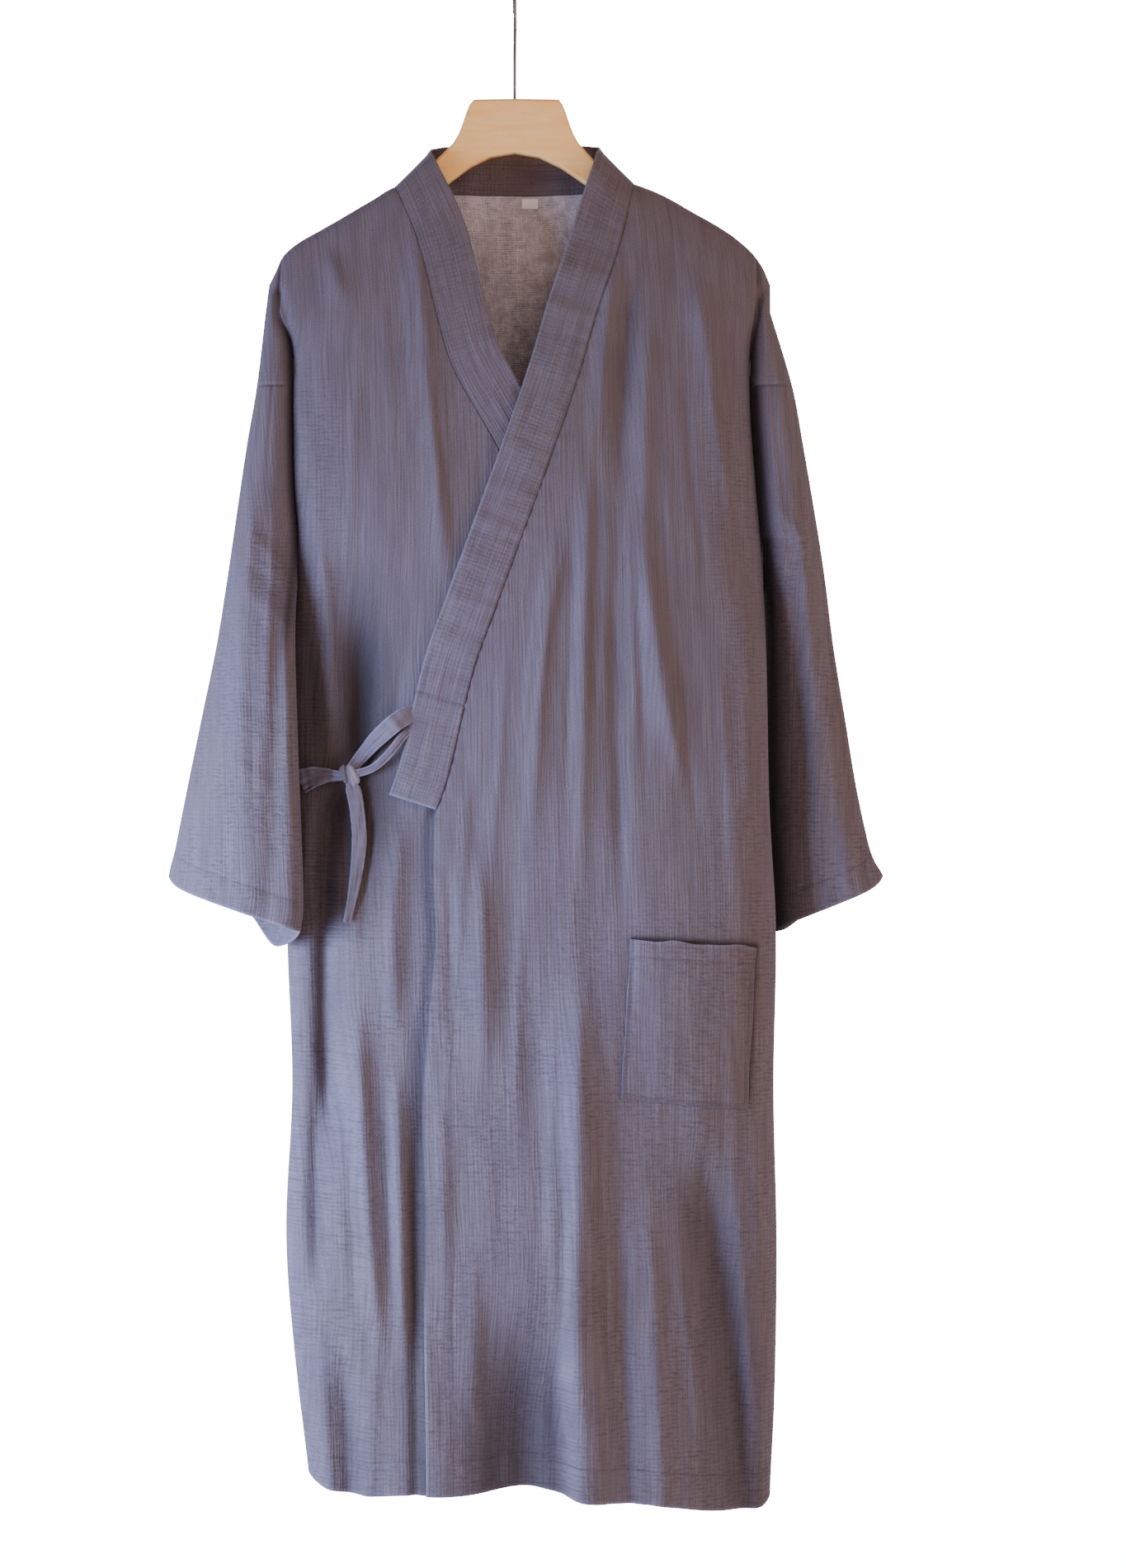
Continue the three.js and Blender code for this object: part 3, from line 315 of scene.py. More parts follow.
# Folds of a sleeve: round it by angle (0 at the outer edge, -90 at the front), down it by outer height.
# The first table's folds are also in the solids; the second holds finer creases.
sleeveFolds = {
    "left": [
        (-60, -75, -95, -420, -800, 16, 4, 90, 120), (-130, -128, -122, -520, cuff, 14, -5, 90, 0),
        (-30, -36, -40, -560, cuff, 12, -4, 90, 0), (70, 85, 95, -430, cuff, 16, -6, 90, 0),
        (130, 124, 120, -540, -790, 14, 5, 90, 90)],
    "right": [
        (-34, -36, -34, -480, cuff, 11, -6, 90, 0), (-70, -76, -80, -440, -780, 15, 5, 90, 100),
        (60, 74, 90, -430, cuff, 16, -6, 90, 0), (125, 122, 120, -540, -790, 14, 5, 90, 90)],
}
sleeveCreases = {
    "left": [
        (-48, -46, -50, -300, -520, 6, 1.6, 50, 90), (-84, -90, -98, -310, -480, 6, -1.5, 40, 80),
        (-104, -112, -116, -430, -700, 6, 1.6, 80, 90), (-84, -100, -110, -560, -790, 5, -1.4, 80, 60),
        (-66, -60, -58, -600, cuff, 6, 1.5, 70, 0), (-142, -146, -148, -520, -760, 6, 1.8, 60, 70),
        (-18, -20, -24, -470, -760, 5, -1.4, 60, 80), (48, 52, 60, -420, -700, 7, 1.8, 60, 90),
        (104, 108, 112, -440, -770, 6, -1.6, 70, 80), (150, 148, 144, -520, -800, 6, 1.8, 60, 60)],
    "right": [
        (-52, -54, -56, -300, -560, 6, 1.7, 50, 90), (-88, -94, -96, -310, -500, 6, -1.6, 40, 80),
        (-106, -108, -112, -420, -700, 6, 1.7, 80, 90), (-58, -58, -62, -560, cuff, 6, 1.4, 80, 0),
        (-124, -128, -130, -500, -770, 6, -1.8, 70, 80), (-146, -146, -150, -520, cuff, 7, 2.0, 60, 0),
        (-14, -12, -12, -430, -700, 5, 1.2, 60, 80), (46, 50, 56, -420, -700, 7, 1.8, 60, 90),
        (104, 108, 112, -440, -770, 6, -1.6, 70, 80), (150, 148, 144, -520, -800, 6, 1.8, 60, 60)],
}


# Short slanting wrinkles where the cloth bunches under the arm and at the bend of the elbow: height at the
# sleeve's front, tilt, depth and half length in degrees.
elbow = {
    "left": [(-505, 0.9, 1.6, 60), (-530, 0.8, -1.8, 60), (-552, 0.7, 1.8, 50), (-596, -0.5, 1.5, 45),
             (-640, 0.5, -1.4, 45), (-694, 0.6, 1.4, 40)],
    "right": [(-486, -0.9, 1.8, 60), (-508, -0.8, -2.0, 60), (-530, -0.8, 2.0, 55), (-562, -0.6, -1.6, 45),
              (-612, 0.5, 1.5, 45), (-668, -0.5, -1.3, 45)],
}


def sleeveParts(name, level, turn):
    # point of a sleeve: an ellipse about the line from its inner to its outer edge, with its folds on it
    at = sleeveAt[name]
    half = at["half"](level)
    opening = smooth((level - armpit) / 20)
    start = mix(lowGap, np.arcsin(np.clip(joinAt(level) / half, 0, 1)), opening)
    angle = turn * (math.pi - np.maximum(start, lowGap / 2))
    above = level > armpit
    inX = np.where(above, bodyAt[name](level) - toMiddle[name] * groove, at["inX"](level))
    inY = np.where(above, bodyAt[name + "Y"](level), at["inY"](level))
    share = 0.5 + 0.5 * np.cos(angle)
    degrees = np.degrees(angle)
    folds = 0
    for group, strength in ((sleeveFolds[name], 1.0), (sleeveCreases[name], 0.6)):
        for a, b, c, top, end, width, depth, rise, fall in group:
            q = np.clip((top - level) / (top - end), 0, 1)
            path = mix(mix(a, b, q), mix(b, c, q), q)
            fade = smooth((level - end) / fall) if fall else 1.0
            run = strength * smooth((top - level) / rise) * fade
            folds = folds + run * depth * bell(degrees - path, width)
    slack = ripple(degrees * 0.7, level / 2.4, 51 if name == "left" else 71, 6, 80)
    folds = folds + slack * (0.4 + 0.5 * smooth((-430 - level) / 160)) * np.abs(np.sin(angle))
    for z0, tilt, deep, long in elbow[name]:
        away = level - z0 - tilt * (degrees + 90) * 0.5
        folds = folds + 0.7 * deep * bell(away, 7) * bell(degrees + 100, long)
    inX = inX + toMiddle[name] * 1.6 * bell(level + 530, 26) * (level <= armpit + 1)
    x = mix(inX, at["outX"](level), share)
    y = mix(inY, at["outY"](level), share) + np.sin(angle) * (half + folds)
    z = mix(np.where(above, level, at["inZ"](level)), level, share)
    return x, y, z


def capPoints(name, sign, t, r, level):
    # The shoulder cap, from the groove out: the top of a sleeve, cut in one with the panel. r is 0 on the
    # shoulder and 1 at the yoke line and below.
    lx, ly, lz = sleeveParts(name, level, sign * (1 - t))
    ridgeX = mix(bodyAt[name](tip), robe["capTip"][name], t)
    x, z = mix(ridgeX, lx, r), mix(shoulderZ(ridgeX), lz, r)
    fall = np.maximum(0, shoulderZ(x) - z)
    y = np.where(r < 1, ly * quarter(fall / (shoulderZ(x) - yoke)) ** 1.2, ly)
    return x, y, z


def panelRows(count, top):
    # r runs 0 to 1 over the yoke, closer together near the shoulder; below it the level falls to the hem
    r = np.concatenate([np.linspace(0, 1, top, endpoint=False) ** 1.6, np.ones(count - top)])
    fall = np.linspace(yoke, hemLeft, count - top)
    named = {"cap": capEnd, "band": bandEnd, "armpit": armpit}
    for value in named.values():
        fall[np.abs(fall - value).argmin()] = value
    level = np.concatenate([np.full(top, float(yoke)), fall])
    rows = {key: int(np.flatnonzero((level == value) & (r == 1))[0]) for key, value in named.items()}
    return r[:, None], level[:, None], rows


def edgeShare(t, corner=0.03, used=0.075):
    # evenly spaced columns, with the last few crowded into the turn at the side seam
    return np.where(t < 1 - used, t * (1 - corner) / (1 - used), 1 - corner * ((1 - t) / used) ** 2.5)


def panelGrid(name, sign, main, cap, rows, topX, edgeX, surface):
    # points of one panel from its inner edge to the armhole, then of the cap: arrays of rows by columns.
    # sign is -1 for a front and 1 for a half of the back.
    r, level, _ = rows
    t = edgeShare(np.linspace(0, 1, main + 1))[None, :]
    side = bodyAt[name](level) + toMiddle[name] * groove
    low = mix(edgeX(level), side, t)
    f = r ** 1.3
    start = mix(topX, bodyAt[name](tip) + toMiddle[name] * groove, t)
    top = backNeckZ(start) if sign > 0 else shoulderZ(start)
    z = np.where(r < 1, mix(top, yoke, f), level + hemDrop(low, level, sign < 0))
    if sign > 0:
        x = mix(start, low, f)
    else:
        onEdge = edgeX(z) - mix(edgeX(shoulderZ(topX)), edgeX(yoke), f)
        x = np.where(r < 1, mix(start, low, f) + onEdge * (1 - t) ** 2, low)
    y = surface(x, z)
    y[:, -1] = sideY(name, sign, x[:, -1], z[:, -1])
    # front and back meet on the fold of the shoulder
    onFold = (r[:, 0] == 0)[:, None] & (np.abs(start) >= (neckHalf if sign > 0 else 0))
    y = np.where(onFold, 0.0, y)
    c = np.linspace(0, 1, cap + 1)[None, :]
    cx, cy, cz = capPoints(name, sign, c, r, level)
    cy[0] = 0
    return [np.concatenate(pair, 1) for pair in ((x, cx), (y, cy), (z, cz))]


def neckZ(x):
    # the back neckline: a cubic rise each way from its middle to the shoulder
    t = np.clip(np.abs(x) / neckHalf, 0, 1)
    return mix(robe["neckLevel"], shoulderZ(np.sign(x) * neckHalf), t ** 3)


def backNeckZ(x):
    # the back's top edge: the neckline, and the shoulder on both sides of it
    return np.where(np.abs(x) < neckHalf, neckZ(x), shoulderZ(x))


def unit(v):  # vectors brought to length 1
    return v / np.maximum(1e-9, np.linalg.norm(v, axis=-1, keepdims=True))


def soften(values, times):
    # runs a short average down the first axis, ends kept
    for _ in range(times):
        values = np.concatenate([values[:1], (values[:-2] + 2 * values[1:-1] + values[2:]) / 4, values[-1:]])
    return values


def lengths(points):
    # running length in mm along the first axis of an array of points
    steps = np.linalg.norm(np.diff(points, axis=0), axis=-1)
    return np.concatenate([np.zeros_like(steps[:1]), np.cumsum(steps, 0)])


def shell(name, grid, keep=None, wrap=False, thick=robe["cloth"], out=(0, -1, 0), uv=None, hem=None,
          wornAndLit=None, shade=None, slack=None, looks=None):
    # One sheet of cloth about a grid of points, kept cells only, given its thickness by Solidify. uv is in mm
    # on the cut cloth; hem is mm from a stitched edge; the last three are 0 to 1: rubbed edges together with
    # painted highlights, painted shade in deep folds, grooves and hollows along with dark seam lines, and
    # cloth that hangs loose.
    x, y, z = grid
    rows, cols = x.shape
    wide = cols if wrap else cols - 1
    j, i = np.mgrid[0:rows - 1, 0:wide]
    keep = np.ones(j.shape, bool) if keep is None else keep
    j, i = j[keep], i[keep]
    corners = [(j, i), (j, i + 1), (j + 1, i + 1), (j + 1, i)]
    quads = np.stack([a * cols + b % cols for a, b in corners], 1)
    spread = np.stack([a * (wide + 1) + b for a, b in corners], 1)
    points = np.stack([x, y, z], -1).reshape(-1, 3)
    p = points[quads]
    normal = np.cross(p[:, 2] - p[:, 0], p[:, 3] - p[:, 1])
    centre = points[quads].mean((0, 1))
    toward = p.mean(1) - centre if out is None else np.array(out, float)
    if (normal * toward).sum() < 0:
        quads, spread = quads[:, ::-1], spread[:, ::-1]
    used, quads = np.unique(quads, return_inverse=True)
    quads = quads.reshape(-1, 4)
    mesh = bpy.data.meshes.new(name)
    mesh.from_pydata((points[used] * mm).tolist(), [], quads.tolist())
    mesh.polygons.foreach_set("use_smooth", np.ones(len(quads), bool))
    across = uv if uv is not None else (x, z)
    layer = mesh.uv_layers.new(name="cloth")
    both = np.stack([np.asarray(k, float).reshape(-1)[spread] for k in across], -1)
    layer.data.foreach_set("uv", both.reshape(-1))
    for key, values in (("hem", hem), ("wornAndLit", wornAndLit), ("shade", shade), ("slack", slack)):
        values = np.full(x.shape, 500.0 if key == "hem" else 0.0) if values is None else values
        made = mesh.attributes.new(key, "FLOAT", "POINT")
        made.data.foreach_set("value", np.asarray(values, float).reshape(-1)[used].astype(np.float32))
    piece = bpy.data.objects.new(name, mesh)
    scene.collection.objects.link(piece)
    for look in looks or (gauze, gauzeInside):
        mesh.materials.append(look)
    solid = piece.modifiers.new("thickness", "SOLIDIFY")
    solid.thickness, solid.offset = thick * mm, 0.0
    solid.material_offset = 1 if looks is None or len(looks) > 1 else 0
    solid.use_even_offset = False
    return piece


def linear(code):  # sRGB hex to linear RGBA
    part = [int(code[k:k + 2], 16) / 255 for k in (0, 2, 4)]
    return [c / 12.92 if c <= 0.04045 else ((c + 0.055) / 1.055) ** 2.4 for c in part] + [1.0]


def node(tree, kind, inputs=None, **settings):
    # adds a node; inputs are values or sockets to link
    made = tree.nodes.new(kind)
    for name, value in settings.items():
        setattr(made, name, value)
    for key, value in (inputs or {}).items():
        if isinstance(value, bpy.types.NodeSocket):
            tree.links.new(value, made.inputs[key])
        else:
            made.inputs[key].default_value = value
    return made


def ramp(tree, source, stops):
    # a ramp of colours by hex code, or of grey levels, read at a value from 0 to 1
    made = node(tree, "ShaderNodeValToRGB", {"Fac": source})
    while len(made.color_ramp.elements) < len(stops):
        made.color_ramp.elements.new(0.5)
    for element, (place, colour) in zip(made.color_ramp.elements, stops):
        element.position = place
        element.color = linear(colour) if isinstance(colour, str) else (colour, colour, colour, 1)
    return made.outputs["Color"]


def maths(tree, operation, *values):  # one step of arithmetic on values or sockets
    return node(tree, "ShaderNodeMath", dict(enumerate(values)), operation=operation).outputs[0]


def blend(tree, fac, a, b, kind="MIX"):  # colour a with colour b over it
    made = node(tree, "ShaderNodeMix", {"Factor": fac, 6: a, 7: b}, data_type="RGBA", blend_type=kind)
    return made.outputs[2]


def newMaterial(name):  # an empty material and its tree
    made = bpy.data.materials.new(name)
    made.use_nodes = True
    made.node_tree.nodes.clear()
    return made, made.node_tree


def finishMaterial(tree, colour, height, distance, **sockets):
    # the surface from its colour and bump, with the bump's distance in m
    bump = node(tree, "ShaderNodeBump", {"Height": height, "Distance": distance, "Strength": 1.0})
    shader = node(tree, "ShaderNodeBsdfPrincipled", {
        "Base Color": colour, "Normal": bump.outputs[0], **sockets})
    node(tree, "ShaderNodeOutputMaterial", {"Surface": shader.outputs[0]})


gauzeLook = {
    "dark": "473c41", "middle": "5d5257", "light": "6c6066", "warm": "5a4f4e", "cool": "605864",
    "crinkle": 3.1, "crinkleRun": 80, "cross": 3.7, "crossRun": 13, "depth": 0.00045,  # mm, and m for depth
    "roughness": 0.95, "sheen": 0.28, "sheenRoughness": 0.45,
}


def streaks(tree, uv, across, down, seed, detail=2.0, distortion=0.15):
    # noise squeezed so that one cell is across mm wide and down mm long on the cloth's own UV, which is in mm
    place = node(tree, "ShaderNodeMapping", {
        "Vector": uv, "Scale": (1 / across, 1 / down, 1), "Location": (seed, seed * 2, 0)})
    made = node(tree, "ShaderNodeTexNoise", {
        "Vector": place.outputs[0], "Scale": 1.0, "Detail": detail, "Roughness": 0.5,
        "Distortion": distortion})
    return made.outputs["Fac"]


def ripples(tree, uv, direction, pitch, run, wander, seed):
    # uneven parallel ripples about pitch mm apart: half a wandering wave, half drawn-out noise, so that they
    # close up, fade and start again over about run mm along their length
    near, far = 0.314 / pitch, 1 / run
    scale = (near, far, 1) if direction == "X" else (far, near, 1)
    place = node(tree, "ShaderNodeMapping", {"Vector": uv, "Scale": scale})
    made = node(tree, "ShaderNodeTexWave", {
        "Vector": place.outputs[0], "Scale": 1.0, "Distortion": wander, "Detail": 3.0, "Detail Scale": 0.9,
        "Detail Roughness": 0.6}, bands_direction=direction)
    wide, long = (0.9 * pitch, 0.8 * run) if direction == "X" else (0.8 * run, 0.9 * pitch)
    grain = ramp(tree, streaks(tree, uv, wide, long, seed, 3.0, 0.3), [(0.32, 0.0), (0.68, 1.0)])
    return maths(tree, "MULTIPLY_ADD", grain, 0.6, maths(tree, "MULTIPLY", made.outputs["Fac"], 0.4))


def doubleGauze(name, look, mottled=0.0):
    # Two layers of open cotton muslin tacked together and washed, so the cloth shrinks into fine upright
    # crinkles about 3 mm apart with a fainter crosswise grid where it hangs slack: matt, a little furry.
    made, tree = newMaterial(name)
    uv = node(tree, "ShaderNodeUVMap", uv_map="cloth").outputs[0]
    slackHere = node(tree, "ShaderNodeAttribute", attribute_name="slack").outputs["Fac"]
    if mottled:
        slackHere = maths(tree, "MAXIMUM", slackHere, 0.9)
    upright = ripples(tree, uv, "X", look["crinkle"], look["crinkleRun"], 9.0, 5.3)
    gathered = ramp(tree, streaks(tree, uv, 9, 70, 3.7), [(0.35, 0.35), (0.65, 1.0)])
    upright = maths(tree, "MULTIPLY", upright, gathered)
    groups = streaks(tree, uv, 8.5, 240, 8.1)
    upright = maths(tree, "MULTIPLY", upright, maths(tree, "MULTIPLY_ADD", slackHere, 0.1, 1.0))
    cross = ripples(tree, uv, "Y", look["cross"], look["crossRun"], 5.0, 7.7)
    weave = streaks(tree, uv, 1.1, 1.1, 2.2, 1.0, 0.0)
    patchy = ramp(tree, streaks(tree, uv, 40, 60, 1.9, 3.0), [(0.36, 0.2), (0.58, 1.0)])
    slack = maths(tree, "MULTIPLY", patchy, slackHere)
    weft = maths(tree, "MULTIPLY", cross, slack)
    height = maths(tree, "MULTIPLY_ADD", groups, 1.2, upright)
    height = maths(tree, "MULTIPLY_ADD", weft, 1.8, height)
    height = maths(tree, "MULTIPLY_ADD", weave, 0.45, height)
    # painted shade and light: the crinkles are painted darker in their troughs and lighter on their ridges,
    # and the crosswise grid likewise where the cloth hangs slack
    tone = ramp(tree, upright, [(0.0, look["dark"]), (0.32, look["middle"]), (0.85, look["light"])])
    tone = blend(tree, 0.35, tone, linear(look["middle"]))
    grid = ramp(tree, cross, [(0.1, 0.28), (0.42, 0.48), (0.9, 0.62)])
    tone = blend(tree, maths(tree, "MULTIPLY", slack, 0.9), tone, grid, "OVERLAY")
    speck = ramp(tree, weave, [(0.35, 0.38), (0.5, 0.5), (0.66, 0.62)])
    tone = blend(tree, 1.0 if mottled else 0.8, tone, speck, "OVERLAY")
    drift = ramp(tree, streaks(tree, uv, 46, 260, 6.6, 3.0), [(0.35, look["warm"]), (0.65, look["cool"])])
    tone = blend(tree, 0.35, tone, drift)
    if mottled:
        patches = ramp(tree, streaks(tree, uv, 9, 9, 9.4, 8.0, 0.8), [(0.36, 0.38), (0.5, 0.5), (0.66, 0.64)])
        tone = blend(tree, mottled, tone, patches, "OVERLAY")
    # a pale blue-grey mixed in: real wear on rubbed edges, and painted highlight on the ties and knot
    wornAndLit = node(tree, "ShaderNodeAttribute", attribute_name="wornAndLit").outputs["Fac"]
    tone = blend(tree, maths(tree, "MULTIPLY", wornAndLit, 0.22), tone, linear("9f99b6"))
    # painted shade: a dark brown mixed in by the shade attribute, in folds, grooves and hollows and on seam
    # lines
    low = node(tree, "ShaderNodeAttribute", attribute_name="shade").outputs["Fac"]
    tone = blend(tree, maths(tree, "MULTIPLY", low, 0.8), tone, linear("241c1c"))
    hem = node(tree, "ShaderNodeAttribute", attribute_name="hem").outputs["Fac"]
    stitch = maths(tree, "COMPARE", hem, 30.0, 0.7)
    dashes = ramp(tree, streaks(tree, uv, 1.6, 1.6, 4.4, 0.0, 0.0), [(0.42, 0.15), (0.55, 1.0)])
    sewn = maths(tree, "MULTIPLY", maths(tree, "MULTIPLY", stitch, dashes), 0.28)
    tone = blend(tree, sewn, tone, linear("2b2328"))
    height = maths(tree, "MULTIPLY_ADD", stitch, -0.5, height)
    finishMaterial(tree, tone, height, look["depth"], Roughness=look["roughness"],
                   **{"Sheen Weight": look["sheen"], "Sheen Roughness": look["sheenRoughness"],
                      "Sheen Tint": linear("a5a2c4"), "IOR": 1.45, "Specular IOR Level": 0.2})
    return made


def wrongSide():
    # The wrong side of the same cloth, mottled where the second layer's looser threads lie, and painted far
    # paler
    # than the right side: painted light standing in for light that comes through the thin cloth into the
    # shaded inside.
    look = dict(gauzeLook, dark="a2989f", middle="c2b8bf", light="d8ced5", warm="aea3a8", cool="b6afbd",
                crinkle=2.0, crinkleRun=20, crossRun=16, cross=2.0, sheen=0.1, depth=0.0004)
    return doubleGauze("gauzeWrongSidePaintedLight", look, 0.7)


def beech():
    # Steamed beech, sanded and sealed: pale pink-straw with fine long grain and short darker flecks.
    made, tree = newMaterial("sealedBeech")
    place = node(tree, "ShaderNodeTexCoord").outputs["Object"]
    grainPlace = node(tree, "ShaderNodeMapping", {"Vector": place, "Scale": (14, 90, 120)}).outputs[0]
    grain = node(tree, "ShaderNodeTexNoise", {
        "Vector": grainPlace, "Scale": 1.0, "Detail": 5.0, "Distortion": 0.6})
    fleckPlace = node(tree, "ShaderNodeMapping", {"Vector": place, "Scale": (180, 700, 1100)}).outputs[0]
    fleck = node(tree, "ShaderNodeTexNoise", {"Vector": fleckPlace, "Scale": 1.0, "Detail": 1.0})
    tone = ramp(tree, grain.outputs["Fac"], [(0.3, "ffb362"), (0.5, "ffc172"), (0.72, "ffcd86")])
    spots = ramp(tree, fleck.outputs["Fac"], [(0.60, 1.0), (0.72, 0.78)])
    tone = blend(tree, 0.5, tone, spots, "MULTIPLY")
    finishMaterial(tree, tone, grain.outputs["Fac"], 0.00012, Roughness=0.48,
                   **{"Coat Weight": 0.08, "Coat Roughness": 0.3})
    return made


def wireSteel():
    # Bright drawn steel wire: fine lines along the wire from the die, slightly dulled by handling.
    made, tree = newMaterial("drawnSteel")
    place = node(tree, "ShaderNodeTexCoord").outputs["Object"]
    lines = node(tree, "ShaderNodeTexNoise", {
        "Vector": node(tree, "ShaderNodeMapping", {"Vector": place, "Scale": (2200, 2200, 60)}).outputs[0],
        "Scale": 1.0, "Detail": 2.0})
    tone = ramp(tree, lines.outputs["Fac"], [(0.3, "6f6d6a"), (0.7, "8c8a87")])
    rough = ramp(tree, lines.outputs["Fac"], [(0.3, 0.42), (0.7, 0.52)])
    finishMaterial(tree, tone, lines.outputs["Fac"], 0.00003, Metallic=1.0, Roughness=rough)
    return made


def tapeWhite():
    # White woven polyester tape, left bare: a fine twill rib and slightly frayed, greyer edges.
    made, tree = newMaterial("wovenTape")
    uv = node(tree, "ShaderNodeUVMap", uv_map="cloth").outputs[0]
    rib = node(tree, "ShaderNodeTexWave", {
        "Vector": node(tree, "ShaderNodeMapping", {"Vector": uv, "Scale": (2.2, 2.2, 2.2)}).outputs[0],
        "Scale": 0.5, "Distortion": 0.6}, bands_direction="DIAGONAL")
    tone = ramp(tree, rib.outputs["Fac"], [(0.2, "efedeb"), (0.8, "ffffff")])
    finishMaterial(tree, tone, rib.outputs["Fac"], 0.0001, Roughness=0.75)
    return made


gauze = doubleGauze("washedDoubleGauze", gauzeLook)
gauzeInside = wrongSide()
beechWood = beech()
steelWire = wireSteel()
labelTape = tapeWhite()
print("materials made")


def armholeShade(x, z, side):
    # 1 in the bottom of the groove between body and sleeve, from the shoulder's tip to below the arm
    near = bell(x - bodyAt[side](z) + toMiddle[side] * 1.5, 5)
    return near * smooth((-285 - z) / 50) * (1 - smooth((-560 - z) / 60))


def edgeOn(t, width):  # 1 on an edge, falling to 0 over the width in mm
    return np.clip(1 - t / width, 0, 1)


def foldShade(folds, x, z):
    # 0 to 1 in the bottom of the deeper troughs
    return mix(0.4, 0.6, smooth((-1000 - z) / 200)) * np.clip(-foldDepth(folds, x, z) / 16, 0, 1)


def slackMap(x, z):
    # 0 where the cloth is pulled upright, 1 where it hangs slack and crinkles crosswise too
    side = np.minimum(x - bodyAt["left"](z), bodyAt["right"](z) - x)
    return np.clip(smooth((-640 - z) / 320) + 0.7 * smooth((70 - side) / 50) * smooth((-320 - z) / 90), 0, 1)


# The pocket's corners, and its size on the cut cloth; the front under it is shaded from them too.
pocket = {"topLeft": (103, -859), "topRight": (217, -866), "lowLeft": (96, -1000), "lowRight": (209, -1012),
          "width": 113, "height": 141, "mouthHem": 15, "edgeStand": 1.5, "stand": 2.5, "gape": 2.5,
          "flat": (0.118, 0.150)}


def pocketShade(x, z):
    # the dark line where the pocket's mouth stands off the front, and a fainter one down its right side
    (leftX, leftZ), (rightX, rightZ), (lowX, lowZ) = (pocket[k] for k in ("topLeft", "topRight", "lowRight"))
    mouth = mix(leftZ, rightZ, (x - leftX) / (rightX - leftX))
    side = mix(rightX, lowX, (rightZ - z) / (rightZ - lowZ))
    above = bell(z - mouth, 3.4) * smooth((x - leftX + 2) / 5) * smooth((rightX + 4 - x) / 4)
    beside = bell(x - side, 2.6) * smooth((mouth - z) / 6) * smooth((z - lowZ + 2) / 20)
    return 1.1 * above + 0.9 * beside


def carve(x, z, paths):
    # depth of grooves drawn along straight runs between points, each with half width, depth and soft ends
    total = 0 * x
    for (x0, z0), (x1, z1), half, depth in paths:
        dx, dz = x1 - x0, z1 - z0
        long = math.hypot(dx, dz)
        t = ((x - x0) * dx + (z - z0) * dz) / long ** 2
        away = np.abs((x - x0) * dz - (z - z0) * dx) / long
        total = total + depth * bell(away, half) * smooth(t / 0.25 + 0.5) * smooth((1 - t) / 0.2 + 0.5)
    return total


# grooves where the body folds over the dropped shoulder, from the tip down into the armhole
shoulderGrooves = {
    "under": [((-214, -272), (-205, -300), 4.5, 4.0), ((-205, -300), (-201, -352), 4.0, 5.0)],
    "over": [((226, -270), (218, -300), 4.5, 4.0), ((218, -300), (215, -352), 4.0, 5.0)],
}

print("sizes and surfaces ready")


def overEdgeX(z):
    # the free edge wanders a little below the band
    wander = 1.2 * ripple(z, 0 * z, 91, 4, 260) * smooth((-780 - z) / 60)
    return overX(z) + 3.5 * bell(z + 862, 40) - 3 * bell(z + 1010, 60) + wander


# The two fronts. Each is one sheet from its front edge or collar seam out to the drop-shoulder seam.
fronts = {
    "over": {"side": "right", "main": 118, "topX": neckHalf, "edgeX": overEdgeX,
             "flat": (0.40, 1.19), "area": 0.345},
    "under": {"side": "left", "main": 100, "topX": -neckHalf, "edgeX": underX,
              "flat": (0.39, 1.18), "area": 0.325},
}
# webRows is how far the underarm join runs below the armpit; the hollow is the shade behind the ties
panelShape = {"rows": 330, "yokeRows": 26, "cap": 22, "webRows": 12, "hemFold": 30, "edgeFold": 24,
              "hollowX": -137, "hollowHalf": 26, "hollowTop": -500, "hollowEnd": -830}
rows = panelRows(panelShape["rows"], panelShape["yokeRows"])
r, level, marks = rows
webEnd = marks["armpit"] + panelShape["webRows"]
frontGrids = {}


def hemPucker(x, z, up, seed):
    # the turned-up hem: a slight step at its stitch line and small puckers below it, none at the side seams
    near = bell(up - panelShape["hemFold"], 2.2)
    pull = ripple(x, up / 6, seed, 5, 26) * np.clip(1 - np.abs(up - 24) / 26, 0, 1)
    side = np.minimum(x - bodyAt["left"](z), bodyAt["right"](z) - x) - groove
    return (-0.8 * near + 0.5 * pull + 0.45 * smooth((panelShape["hemFold"] - up) / 3)) * smooth(side / 8)


def cells(x, wrap=False):
    # row and column numbers of every cell of a grid of points
    return np.mgrid[0:x.shape[0] - 1, 0:x.shape[1] - (0 if wrap else 1)]


